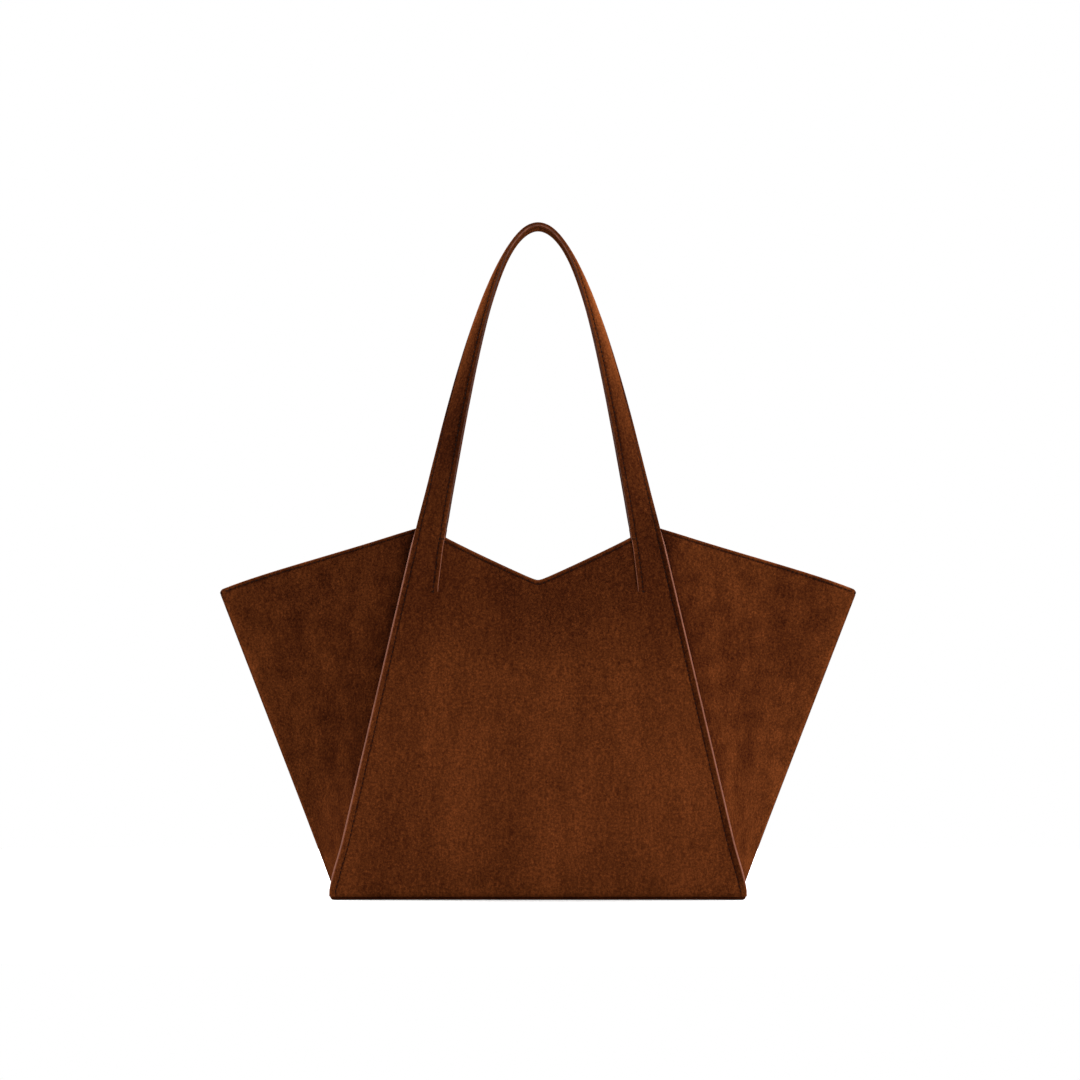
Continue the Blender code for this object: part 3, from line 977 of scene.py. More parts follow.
def backing_mesh(name):
    """The strap's rear leather: flat inside the bag, padded above it."""
    clearance, padding_share = 0.00002, 0.98
    shares = [0.0, 0.02, 0.05, 0.09, 0.12, 0.15, 0.18, 0.22, 0.3, 0.4, 0.5]
    shares += [1 - share for share in reversed(shares[:-1])]
    outer, inner, tones = [], [], []
    for station in sum(strip_stations(), []):
        if station.z <= STRAP_END_Z:
            continue
        start, end = backing_edges(station)
        rear, near = [], []
        for share in shares:
            d = mix(start, end, share)
            relief = station.dome(d) - station.pinch(d)
            if station.on_strap:
                relief += sewn_edge(d - start, STRAP_SEAM) + sewn_edge(end - d, STRAP_SEAM)
            rear.append(station.spot(d, REAR_FACE - relief))
            near.append(station.spot(d, -SUEDE - GAP - clearance - station.dome(d) * padding_share))
            # The rear leather keeps the strap's painted highlights at the edges and painted shade at the
            # seams and the mouth, without the painted light and shade across the face
            tones.append(station.tone(d) - station.strap_painted_light_and_shade(d) if station.on_strap else 0.0)
        outer.append(rear)
        inner.append(near)
    mesh = shell_mesh(name, outer, inner)
    set_tones(mesh, tones)
    return mesh


def paint_section(bulge):
    """Half-round section of the edge paint, as (share of the stack's thickness, distance out). Its closing
    side lies inside the leather."""
    section = []
    for degrees in range(0, 181, 20):
        angle = math.radians(degrees)
        section.append(((1 - math.cos(angle)) / 2, bulge * math.sin(angle)))
    return section + [(0.86, -0.0005), (0.14, -0.0005)]


def paint_ring(station, distance, low_stack, share, slack, bulge):
    """The points and tones of the paint round an edge of the strip at a station. The stack of leather under
    it grows from the low one to the strap's own."""
    height = station.relief(distance, slack)
    corner = station.spot(distance, height)
    rearward = (station.behind(distance, height, 0.001) - corner).normalized()
    out = corner - station.spot(station.width / 2, height)
    out = (out - rearward * out.dot(rearward)).normalized()
    strap_stack = STRAP_STACK - 2 * (EDGE_ROUNDING + station.pinch(distance))
    stack = mix(low_stack, strap_stack, share)
    section = paint_section(bulge * mix(1.0, STRAP_PAINT_SWELL, share))
    middle_tone, rim_tone = paint_tones(station, share)
    points, tones = [], []
    for behind, reach in section:
        off_middle = min(1.0, 1.6 * abs(2 * behind - 1))
        points.append(corner + rearward * (behind * stack) + out * reach)
        tones.append(mix(middle_tone, rim_tone, off_middle))
    return points, tones


def paint_tones(station, share):
    """Painted shade on the paint at the middle and the rims of an edge: dark on the straps, darker at the
    rims, and least dark along the middle of the edge over the arch."""
    if not station.on_strap:
        return 0.0, 0.0
    strap_shade, over_arch, rim_shade = -0.55, 0.06, 0.4
    middle = share * mix(strap_shade, over_arch, smoothstep(0.5, 0.75, 1 - abs(station.q)))
    return middle, middle - rim_shade * share


def outer_paint_mesh(name, slack, bulge):
    """The edge paint from a panel's foot up its side seam, over the arch and down again."""
    rings = []
    for station in sum(strip_stations(), []):
        share = smoothstep(HINGE_Z - 0.01, HINGE_Z, station.z)
        rings.append(paint_ring(station, 0.0, FLANGE_STACK, share, slack, bulge))
    return tube_mesh(name, rings)


def inner_paint_mesh(name, slack, bulge):
    """The edge paint along the slit's strap side and the strap's inner edge."""
    rings = []
    for station in free_edge_stations():
        share = smoothstep(MOUTH_CORNER_Z - 0.001, MOUTH_CORNER_Z + 0.004, station.z)
        rings.append(paint_ring(station, station.width, SLIT_STACK, share, slack, bulge))
    return tube_mesh(name, rings)


def wing_seam(z):
    """The point behind the side seam from which the wing sets out."""
    past_seam, clearance = 0.0004, 0.0019
    seam = seam_distance(z) + past_seam
    behind = FLANGE_STACK + clearance
    return Vector((panel_half_width(z) - seam, face_y(z), z)) - PANEL_NORMAL * behind


def wing_fold(share):
    """The point on the wing's outer edge at a share of its height."""
    z = mix(WING_BOTTOM, WING_TIP_Z, share)
    return Vector((mix(WING_FOOT_X, WING_TIP_X, z / WING_TIP_Z), 0.0, z))


def wing_flat(across, share):
    """A point on the +X wing's front half without its soft shape."""
    seam = wing_seam(mix(WING_BOTTOM, PANEL_HEIGHT, share))
    crown = WING_TOP_CROWN * (1 - max(across, 0.0) ** 8) * share
    return seam.lerp(wing_fold(share), across) + Vector((0.0, 0.0, crown))


def wing_width(share):
    """Width of the wing half at a share of its height."""
    return (wing_fold(share) - wing_flat(0.0, share)).length


def wing_height(across):
    """Height of the wing along a line from its foot to its top edge."""
    return mix(PANEL_HEIGHT, WING_TIP_Z, across) - WING_BOTTOM


def round_tip(from_edge, from_top):
    """Moves a point near the wing's outer top corner so that the corner becomes round."""
    radius = WING_TIP_RADIUS
    if max(from_edge, from_top) >= radius:
        return from_edge, from_top
    u = 1 - from_edge / radius
    v = 1 - from_top / radius
    return radius * (1 - u * math.sqrt(1 - v * v / 2)), radius * (1 - v * math.sqrt(1 - u * u / 2))


def wing_normal(across, share):
    """The outward direction there, from two small steps along the face."""
    step = 0.01
    along = wing_flat(across + step, share) - wing_flat(across - step, share)
    up = wing_flat(across, share + step) - wing_flat(across, share - step)
    return along.cross(up).normalized()


def wing_relief(across, share, slack):
    """The wing's hollow, its soft waves, and the ridge of its turned outer seam."""
    place = wing_flat(across, share)
    from_edge = (1 - across) * wing_width(share)
    sides = 0.15
    still = smoothstep(0.0, sides, across) * smoothstep(0.0, sides, 1 - across) * smoothstep(0.0, 0.2, share)
    wave = slack * still * (1.6 * soft_wave(place, 0.08, 5.0) + 0.5 * soft_wave(place, 0.03, 6.0))
    hollow = -WING_HOLLOW * math.sin(math.pi * across) * smoothstep(0.0, 0.5, share)
    if from_edge < RIDGE_FROM_EDGE:
        ridge = RIDGE * math.sqrt(max(1 - (1 - from_edge / RIDGE_FROM_EDGE) ** 2, 0.0))
    else:
        fall = 0.0028
        ridge = RIDGE * math.exp(-(((from_edge - RIDGE_FROM_EDGE) / fall) ** 2))
    return wave + hollow + ridge


def wing_columns(width):
    """Places across a wing half of this width, from 0 at the side seam to 1 at the outer edge."""
    shares = [0.0, 0.008, 0.02, 0.04, 0.07] + spaced(0.07, 1 - 0.014 / width, 26)[1:]
    near_edge = (0.0105, 0.0080, 0.0060, 0.0045, 0.0033, 0.0023, 0.0016, 0.0010, 0.0005, 0.0001)
    return shares + [1 - edge / width for edge in near_edge]


def wing_tone(place, from_seam, from_edge, from_top, depth):
    """Tone of the nap on the wing: random patches with painted shade over all of it, a painted highlight
    that grows outwards, a painted shadow beside the side seam, a painted highlight on the ridge of the outer
    seam, and the rolled top edge's painted highlight and groove shade."""
    ridge_width = 0.0009
    # Random patches of the nap, with painted shade over the whole wing
    patches_and_shade = 0.28 * soft_wave(place, 0.012, 11.0) - 0.15
    # Painted highlights on the ridge of the outer seam and growing outwards
    ridge = 0.25 * math.exp(-(((from_edge - RIDGE_FROM_EDGE) / ridge_width) ** 2))
    outwards = 0.2 * (from_seam / (from_seam + from_edge)) ** 2
    # Painted shadow beside the side seam
    seam_shadow = 1.3 * math.exp(-from_seam / 0.0045)
    return hem_tone(from_top, depth) + patches_and_shade + ridge + outwards - seam_shadow


def wing_row(share, below, depth, slack):
    """The places and tones of one row across the +X wing's front half, this deep behind its face. It starts
    with the strip that is sewn in behind the panel's side seam."""
    overlap, beyond_seam, from_fold = 0.00005, 0.0005, 0.0002
    station = Station(side=1, z=mix(WING_BOTTOM, PANEL_HEIGHT, share) - below)
    places = []
    for reach in (0.02, 0.35, 0.7, 0.95):
        distance = reach * station.seam
        places.append(station.behind(distance, station.curl(distance), FLANGE_STACK - overlap))
    places.append(station.spot(station.seam + beyond_seam, -FLANGE_STACK - beyond_seam))
    # Painted shade on the strip sewn in behind the side seam
    tones = [SHADED_NAP] * len(places)
    width = wing_width(share)
    for across in wing_columns(width):
        from_top = (1 - share) * wing_height(across) + below
        from_edge, from_top = round_tip((1 - across) * width, from_top)
        own_across = 1 - from_edge / width
        own_share = 1 - from_top / wing_height(own_across)
        height = wing_relief(own_across, own_share, slack) - depth
        place = wing_flat(own_across, own_share) + wing_normal(own_across, own_share) * height
        place.y = min(place.y, -from_fold)
        places.append(place)
        tones.append(wing_tone(place, across * width, from_edge, from_top, depth))
    return places, tones


def wing_rows(slack):
    """The rows of the +X wing's front half, from its foot to the inside of its rolled top edge."""
    top_share = 1 - HEM_REACH / WING_TIP_Z
    rows = [wing_row(share, 0.0, 0.0, slack) for share in spaced(0.0, top_share, 44)]
    return rows + [wing_row(1.0, below, depth, slack) for below, depth in hem_profile()]


def wing_mesh(name, slack):
    """The front half of the +X wing as a closed wall of suede."""
    from_fold = 0.0001
    rows = wing_rows(slack)
    outer = [places for places, tones in rows]
    normals = grid_normals(outer)
    middle = len(outer[0]) // 2
    outward = 1 if normals[5][middle].y < 0 else -1
    inner = []
    for row, line in zip(outer, normals):
        wall = [place - normal * (outward * SUEDE) for place, normal in zip(row, line)]
        for place in wall:
            place.y = min(place.y, -from_fold)
        inner.append(wall)
    mesh = shell_mesh(name, outer, inner)
    set_tones(mesh, [tone for places, tones in rows for tone in tones])
    return mesh


def mirrored_copy(mesh, name):
    """A copy of a +X mesh on the -X side."""
    copy = mesh.copy()
    copy.name = name
    copy.transform(Matrix.Scale(-1, 4, (1.0, 0.0, 0.0)))
    copy.flip_normals()
    return copy


def add_painted_shade(mesh, shade):
    """Adds this much to a mesh's nap tone: painted shade where it is below 0."""
    for tone in mesh.attributes["tone_and_painted_light"].data:
        tone.value += shade


def rounded_outline(half_x, half_y, radius):
    """A rectangle with rounded corners, anticlockwise."""
    points = []
    for sign_x, sign_y, first in ((1, -1, -90), (1, 1, 0), (-1, 1, 90), (-1, -1, 180)):
        for step in range(9):
            angle = math.radians(first + 90 * step / 8)
            x = sign_x * (half_x - radius) + radius * math.cos(angle)
            y = sign_y * (half_y - radius) + radius * math.sin(angle)
            points.append((x, y))
    return points


def base_mesh():
    """The suede under the bag: a flat plate with a rounded rim, set in a little from the panels."""
    inset = 0.0013
    rim = [(0.0022, 0.0), (0.0011, 0.0003), (0.0004, 0.0009), (0.0, 0.0017), (0.0, 0.0022)]
    rings = []
    for inward, z in rim:
        half_x = BASE_WIDTH / 2 - inset - inward
        half_y = BASE_DEPTH / 2 - inset - inward
        points = [(x, y, z) for x, y in rounded_outline(half_x, half_y, BASE_CORNER_RADIUS)]
        # Painted shade on the base's rim, under the panels
        rings.append((points, [SHADED_NAP] * len(points)))
    return tube_mesh("base_suede", rings)


def lining_top(x):
    """Height of the lining's sewn top edge behind the panel."""
    return min(mouth_z(x) - LINING_TOP_DROP, LINING_TAB_TOP)


def lining_panel_column(share, steps):
    """Points up the front panel's lining, at a share of the panel's half width."""
    near_top = 0.26
    top = lining_top(share * (panel_half_width(near_top) - LINING_SIDE_INSET))
    column = []
    for z in spaced(LINING_FLOOR_Z, top, steps):
        x = share * (panel_half_width(z) - LINING_SIDE_INSET)
        column.append(Vector((x, face_y(z), z)) - PANEL_NORMAL * LINING_DEPTH)
    return column


def lining_wing_column(across, steps):
    """Points up the lining of the +X wing's front half. They stay clear of the outer fold."""
    from_fold = 0.0006
    top_share = 1 - LINING_TOP_DROP / WING_TIP_Z
    low_share = (LINING_FLOOR_Z - WING_BOTTOM) / WING_TIP_Z
    column = []
    for share in spaced(low_share, top_share, steps):
        place = wing_flat(across, share) - wing_normal(across, share) * LINING_DEPTH
        place.y = min(place.y, -from_fold)
        column.append(place)
    return column


def lining_mesh(slack):
    """The lining as one sewn sack, open at the mouth."""
    steps = 36
    wing = [lining_wing_column(across, steps) for across in spaced(0.96, 0.06, 16)]
    panel = [lining_panel_column(share, steps) for share in spaced(0.97, -0.97, 40)]
    other = [[Vector((-p.x, p.y, p.z)) for p in column] for column in reversed(wing)]
    front = wing + panel + other
    back = [[HALF_TURN @ p for p in column] for column in front]
    columns = front + back
    rows = [[column[step] for column in columns] for step in range(steps + 1)]
    normals = grid_normals(rows, around=True)
    inward = 1 if normals[5][len(wing) + len(panel) // 2].y > 0 else -1
    visible, hidden = [], []
    for r, (row, line) in enumerate(zip(rows, normals)):
        still = smoothstep(0.0, 0.2, r / steps) * smoothstep(0.0, 0.2, 1 - r / steps)
        shown, behind = [], []
        for place, normal in zip(row, line):
            wave = slack * still * (0.6 + soft_wave(place, 0.05, 8.0) + 0.4 * soft_wave(place, 0.02, 9.0))
            face = place + normal * (inward * wave)
            shown.append(face)
            behind.append(face - normal * (inward * LINING))
        visible.append(shown)
        hidden.append(behind)
    return shell_mesh("lining_sack", visible, hidden, around=True)


def lining_floor_mesh():
    """The lining over the base board, a little full between its seams."""
    side_inset, front_inset, fullness = 0.0116, 0.0062, 0.0006
    half_x = BASE_WIDTH / 2 - side_inset
    half_y = BASE_DEPTH / 2 - front_inset
    top, bottom = [], []
    for y in spaced(-half_y, half_y, 24):
        upper, lower = [], []
        for x in spaced(-half_x, half_x, 50):
            inside = min(half_x - abs(x), half_y - abs(y))
            rise = fullness * smoothstep(0.0, 0.02, inside) * (1 + soft_wave((x, y, 0.0), 0.04, 4.0))
            upper.append(Vector((x, y, LINING_FLOOR_Z + rise)))
            lower.append(Vector((x, y, LINING_FLOOR_Z + rise - LINING / 2)))
        top.append(upper)
        bottom.append(lower)
    return shell_mesh("lining_floor", top, bottom)


def pocket_spot(x, z, depth):
    """A point this deep behind the front panel's face."""
    return Vector((x, face_y(z), z)) - PANEL_NORMAL * depth


def pocket_depth(x, z):
    """The pocket lies on the lining at its seams and stands away a little at its open top."""
    across = abs(x) / (POCKET_WIDTH / 2)
    up = (z - POCKET_BOTTOM) / (POCKET_TOP - POCKET_BOTTOM)
    most_gape, lining_fullness = 0.0030, 0.0021
    gape = most_gape * smoothstep(0.3, 1.0, up) * max(1 - across**4, 0.0)
    return LINING_DEPTH + lining_fullness + gape


def pocket_mesh():
    """The slip pocket with its rounded top edge. It is made at the front and then turned to the back."""
    thickness, rounding, rounded_height = 0.0010, 0.0006, 0.002
    shown, behind = [], []
    columns = spaced(-POCKET_WIDTH / 2, POCKET_WIDTH / 2, 30)
    heights = spaced(POCKET_BOTTOM, POCKET_TOP - rounded_height, 22) + [POCKET_TOP - 0.0008, POCKET_TOP]
    for z in heights:
        round_off = rounding * smoothstep(POCKET_TOP - rounded_height, POCKET_TOP, z)
        shown.append([pocket_spot(x, z, pocket_depth(x, z) - round_off) for x in columns])
        behind.append([pocket_spot(x, z, pocket_depth(x, z) - thickness + round_off / 2) for x in columns])
    return shell_mesh("slip_pocket_cloth", shown, behind)


def line_mesh(name, lines):
    """Open lines of edges. Each line is (points, normals), and the normals are kept as an attribute."""
    points = [point for line in lines for point in line[0]]
    normals = [normal for line in lines for normal in line[1]]
    edges = []
    first = 0
    for line, _ in lines:
        edges += [(first + step, first + step + 1) for step in range(len(line) - 1)]
        first += len(line)
    mesh = bpy.data.meshes.new(name)
    mesh.from_pydata(points, edges, [])
    attribute = mesh.attributes.new("suede_normal", "FLOAT_VECTOR", "POINT")
    attribute.data.foreach_set("vector", [part for normal in normals for part in normal])
    return mesh


def stitch_tree():
    """Geometry nodes that sew a row of stitches along each line of a mesh."""
    tree = bpy.data.node_groups.new("Sew stitches", "GeometryNodeTree")
    sockets = (
        ("Geometry", "INPUT", "NodeSocketGeometry"),
        ("Stitch pitch", "INPUT", "NodeSocketFloat"),
        ("Stitch length", "INPUT", "NodeSocketFloat"),
        ("Thread thickness", "INPUT", "NodeSocketFloat"),
        ("Thread", "INPUT", "NodeSocketMaterial"),
        ("Geometry", "OUTPUT", "NodeSocketGeometry"),
    )
    for name, side, kind in sockets:
        tree.interface.new_socket(name, in_out=side, socket_type=kind)
    given = add_node(tree, "NodeGroupInput").outputs
    out = add_node(tree, "NodeGroupOutput")
    curve = add_node(tree, "GeometryNodeMeshToCurve", {}, {"Mesh": given["Geometry"]})
    inputs = {"Curve": curve.outputs["Curve"], "Length": given["Stitch pitch"]}
    points = add_node(tree, "GeometryNodeCurveToPoints", {"mode": "LENGTH"}, inputs)
    fields = {"data_type": "FLOAT_VECTOR"}
    normal = add_node(tree, "GeometryNodeInputNamedAttribute", fields, {"Name": "suede_normal"})
    inputs = {"Vector": points.outputs["Tangent"]}
    along = add_node(tree, "FunctionNodeAlignRotationToVector", {"axis": "X"}, inputs)
    fields = {"axis": "Z", "pivot_axis": "X"}
    inputs = {"Rotation": along.outputs["Rotation"], "Vector": normal.outputs["Attribute"]}
    facing = add_node(tree, "FunctionNodeAlignRotationToVector", fields, inputs)
    inputs = {"Min": -0.10, "Max": 0.10, "Seed": 7}
    slant = add_node(tree, "FunctionNodeRandomValue", {"data_type": "FLOAT"}, inputs)
    slant_value = next(s for s in slant.outputs if s.type == "VALUE")
    inputs = {"Axis": (0.0, 0.0, 1.0), "Angle": slant_value}
    turn = add_node(tree, "FunctionNodeAxisAngleToRotation", {}, inputs)
    inputs = {"Rotation": facing.outputs["Rotation"], "Rotate By": turn.outputs["Rotation"]}
    turned = add_node(tree, "FunctionNodeRotateRotation", {"rotation_space": "LOCAL"}, inputs)
    shares = (
        ("Stitch length", 0.5),
        ("Stitch length", -0.5),
        ("Thread thickness", -0.75),
        ("Thread thickness", 0.85),
        ("Thread thickness", 0.5),
    )
    sizes = []
    for size, share in shares:
        inputs = {0: given[size], 1: share}
        sizes.append(add_node(tree, "ShaderNodeMath", {"operation": "MULTIPLY"}, inputs).outputs[0])
    half, back, sink, rise, radius = sizes
    start = add_node(tree, "ShaderNodeCombineXYZ", {}, {"X": back, "Z": sink})
    middle = add_node(tree, "ShaderNodeCombineXYZ", {}, {"Z": rise})
    end = add_node(tree, "ShaderNodeCombineXYZ", {}, {"X": half, "Z": sink})
    inputs = {"Start": start.outputs[0], "Middle": middle.outputs[0], "End": end.outputs[0]}
    bow = add_node(tree, "GeometryNodeCurveQuadraticBezier", {}, {"Resolution": 5, **inputs})
    inputs = {"Resolution": 6, "Radius": radius}
    ring = add_node(tree, "GeometryNodeCurvePrimitiveCircle", {"mode": "RADIUS"}, inputs)
    inputs = {"Curve": bow.outputs["Curve"], "Profile Curve": ring.outputs["Curve"], "Fill Caps": True}
    stitch = add_node(tree, "GeometryNodeCurveToMesh", {}, inputs)
    inputs = {
        "Points": points.outputs["Points"],
        "Instance": stitch.outputs["Mesh"],
        "Rotation": turned.outputs["Rotation"],
    }
    sewn = add_node(tree, "GeometryNodeInstanceOnPoints", {}, inputs)
    real = add_node(tree, "GeometryNodeRealizeInstances", {}, {"Geometry": sewn.outputs["Instances"]})
    inputs = {"Geometry": real.outputs["Geometry"], "Material": given["Thread"]}
    painted = add_node(tree, "GeometryNodeSetMaterial", {}, inputs)
    tree.links.new(painted.outputs["Geometry"], out.inputs["Geometry"])
    return tree


def sew(name, lines, pitch_share=1.0):
    """Stitches along the lines, as a plain mesh piece. Bartacks and the pocket have shorter ones."""
    settings = bpy.context.scene.tote_thread
    tree = bpy.data.node_groups.get("Sew stitches") or stitch_tree()
    obj = bpy.data.objects.new(name, line_mesh(name, lines))
    bpy.context.scene.collection.objects.link(obj)
    rows = obj.modifiers.new("stitches", "NODES")
    rows.node_group = tree
    values = {
        "Stitch pitch": settings.pitch * pitch_share,
        "Stitch length": settings.length * pitch_share,
        "Thread thickness": settings.thickness,
        "Thread": thread_material(),
    }
    for item in tree.interface.items_tree:
        if item.item_type == "SOCKET" and item.in_out == "INPUT" and item.name in values:
            rows[item.identifier] = values[item.name]
    plain_mesh(obj)
    for polygon in obj.data.polygons:
        polygon.use_smooth = True
    return obj


def surface_line(stations, distance_of, slack, rear=False):
    """A line along the strip at a distance from its outer edge, on its face or on the strap's rear."""
    points, normals = [], []
    for station in stations:
        d = distance_of(station)
        if rear:
            height = REAR_FACE - station.dome(d) + GROOVE_DEPTH - STITCH_LIFT
            outwards = -0.001
        else:
            height = station.relief(d, slack) + STITCH_LIFT
            outwards = 0.001
        point = station.spot(d, height)
        points.append(point)
        normals.append((station.spot(d, height + outwards) - point).normalized())
    return points, normals


def half_turned_lines(lines):
    """The same lines on the back of the bag."""
    turned = []
    for points, normals in lines:
        turned.append(([HALF_TURN @ p for p in points], [HALF_TURN @ n for n in normals]))
    return turned


def outer_seam(station):
    """Distance of the outer row of stitches from the strip's outer edge."""
    return station.seam


def inner_seam(station):
    """Distance of the inner row of stitches from the strip's outer edge."""
    return station.width - STRAP_SEAM


def strap_stitch_lines(slack):
    """The seams of one panel and its strap: both side seams, both strap edges, and the strap's rear."""
    right, strap, left = strip_stations()
    whole = [station for station in right + strap + left if station.z > PANEL_BOTTOM + 0.004]
    above = [station for station in strap if station.z > HINGE_Z + 0.012]
    return [
        surface_line(whole, outer_seam, slack),
        surface_line(free_edge_stations(), inner_seam, slack),
        surface_line(above, outer_seam, slack, rear=True),
        surface_line(above, inner_seam, slack, rear=True),
    ]


def bartack_lines(slack):
    """Short rows of stitches at the end of each slit and across the strap's seam at the mouth's corner."""
    lines = []
    slit_end_row = (SLIT_END_Z - 0.0001, 0.0040, 0.0028)
    mouth_row = (MOUTH_CORNER_Z - 0.0011, 0.0032, 0.0002)
    for side in SIDES:
        for z, start, end in (slit_end_row, mouth_row):
            station = Station(side=side, z=z)
            points, normals = [], []
            for from_edge in spaced(start, end, 6):
                d = station.width - from_edge
                points.append(station.spot(d, station.relief(d, slack) + 2 * STITCH_LIFT))
                normals.append(PANEL_NORMAL.copy())
            lines.append((points, normals))
    return lines


def hem_stitch_lines(slack):
    """The two seams under the mouth's rolled edge on the front panel."""
    lines = []
    edge_x = inner_line(MOUTH_CORNER_Z)
    for side in SIDES:
        points, normals = [], []
        for share in spaced(0.012, 0.985, 40):
            z = mouth_z(share * edge_x) - HEM_SEAM * MOUTH_SLANT
            points.append(middle_spot(side * share, z, GROOVE_DEPTH - STITCH_LIFT, slack))
            normals.append(PANEL_NORMAL.copy())
        lines.append((points, normals))
    return lines


def wing_stitch_line(side, slack):
    """The seam under the rolled top edge of a wing's front half."""
    points, normals = [], []
    for across in spaced(0.03, 0.985, 60):
        normal = wing_normal(across, 1.0)
        place = wing_flat(across, 1.0) + Vector((0.0, 0.0, -HEM_SEAM))
        place += normal * (wing_relief(across, 1.0, slack) - GROOVE_DEPTH + STITCH_LIFT)
        points.append(Vector((side * place.x, place.y, place.z)))
        normals.append(Vector((side * normal.x, normal.y, normal.z)))
    return points, normals


def pocket_stitch_lines():
    """The pocket's seam down, along and up, and the seam of its hem."""
    half = POCKET_WIDTH / 2 - POCKET_SEAM
    top, bottom = POCKET_TOP - POCKET_SEAM, POCKET_BOTTOM + POCKET_SEAM
    down = [(-half, z) for z in spaced(top, bottom, 20)]
    along = [(x, bottom) for x in spaced(-half, half, 20)[1:-1]]
    up = [(half, z) for z in spaced(bottom, top, 20)]
    hem = [(x, POCKET_TOP - POCKET_HEM) for x in spaced(-half, half, 20)]
    lines = []
    for path in (down + along + up, hem):
        points = [pocket_spot(x, z, pocket_depth(x, z) + STITCH_LIFT) for x, z in path]
        lines.append((points, [-PANEL_NORMAL for _ in path]))
    return lines


class TOTE_OT_suede_panels(bpy.types.Operator):
    """Make each panel and the strap that grows out of it from one sheet of suede"""

    bl_idname = "tote.suede_panels"
    bl_label = "Panels and straps"

    def execute(self, context):
        slack = context.scene.tote_suede.slack
        for half, mesh in front_and_back(suede_mesh(slack), "suede"):
            obj = add_piece(half + "_suede", mesh, suede_material())
            wall = obj.modifiers.new("wall", "SOLIDIFY")
            wall.thickness = SUEDE
            wall.offset = -1.0
            plain_mesh(obj)
            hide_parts(half + "_panel", half + "_stiffener", half + "_handle_outer_strap")
            bend(obj, half)
        return {"FINISHED"}


def bend(obj, half):
    """Bakes a piece's placement into its mesh. Where the bend from the bag to a handle runs is worked out,
    but not used.
    """
    start, end = Vector(BEND_START), Vector(BEND_END)
    if half == "back":
        start, end = HALF_TURN @ start, HALF_TURN @ end
    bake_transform(obj)


class TOTE_OT_strap_backings(bpy.types.Operator):
    """Make the rear leather of both straps, domed over the padding"""

    bl_idname = "tote.strap_backings"
    bl_label = "Strap backings"

    def execute(self, context):
        for half, mesh in front_and_back(backing_mesh("front_strap_backing"), "strap_backing"):
            obj = add_piece(half + "_strap_backing", mesh, suede_material())
            ends = [f"{half}_{hand}_strap_end" for hand in ("left", "right")]
            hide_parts(half + "_handle_inner_strap", half + "_handle_core", *ends)
            bend(obj, half)
        return {"FINISHED"}


class TOTE_OT_edge_paint(bpy.types.Operator):
    """Paint the raw edges of the side seams and straps"""

    bl_idname = "tote.edge_paint"
    bl_label = "Painted edges"

    def execute(self, context):
        slack = context.scene.tote_suede.slack
        bulge = context.scene.tote_edge_paint.bulge
        for place, paint_mesh in (("outer", outer_paint_mesh), ("inner", inner_paint_mesh)):
            front = paint_mesh(f"front_{place}_edge_paint", slack, bulge)
            for half, mesh in front_and_back(front, f"{place}_edge_paint"):
                obj = add_piece(f"{half}_{place}_edge_paint", mesh, edge_paint_material())
                bend(obj, half)
        return {"FINISHED"}


class TOTE_OT_wings(bpy.types.Operator):
    """Make the two halves of each wing, joined by a turned seam at the outer edge"""

    bl_idname = "tote.wings"
    bl_label = "Wings"

    def execute(self, context):
        slack = context.scene.tote_suede.slack
        front_right = wing_mesh("front_right_wing_suede", slack)
        front_left = mirrored_copy(front_right, "front_left_wing_suede")
        # Painted shade on the front left wing, which faces away from the key light; its turned copy, the
        # back right wing, gets it too
        add_painted_shade(front_left, LEFT_WING_SHADE)
        meshes = {
            "front_right": front_right,
            "front_left": front_left,
            "back_left": turned_copy(front_right, "back_left_wing_suede"),
            "back_right": turned_copy(front_left, "back_right_wing_suede"),
        }
        for place, mesh in meshes.items():
            obj = add_piece(place + "_wing_suede", mesh, suede_material())
            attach(obj, "bag")
            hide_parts(place + "_wing", place + "_wing_stiffener")
        return {"FINISHED"}


class TOTE_OT_base(bpy.types.Operator):
    """Make the suede base and finish the board over it"""

    bl_idname = "tote.base"
    bl_label = "Base"

    def execute(self, context):
        obj = add_piece("base_suede", base_mesh(), suede_material())
        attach(obj, "bag")
        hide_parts("base_panel")
        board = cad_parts["base_board"]
        board.data.materials.clear()
        board.data.materials.append(board_material())
        return {"FINISHED"}


class TOTE_OT_lining(bpy.types.Operator):
    """Make the lining and its slip pocket"""

    bl_idname = "tote.lining"
    bl_label = "Lining"

    def execute(self, context):
        sack = add_piece("lining_sack", lining_mesh(context.scene.tote_lining.slack), lining_material())
        nodes = ["front_lining", "back_lining"]
        for half in ("front", "back"):
            nodes += [f"{half}_{hand}_wing_lining" for hand in ("left", "right")]
        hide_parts(*nodes)
        floor = add_piece("lining_floor", lining_floor_mesh(), lining_material())
        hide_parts("base_lining")
        cloth = turned_copy(pocket_mesh(), "slip_pocket_cloth")
        pocket = add_piece("slip_pocket_cloth", cloth, lining_material())
        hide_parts("slip_pocket")
        for obj in (sack, floor, pocket):
            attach(obj, "bag")
        return {"FINISHED"}


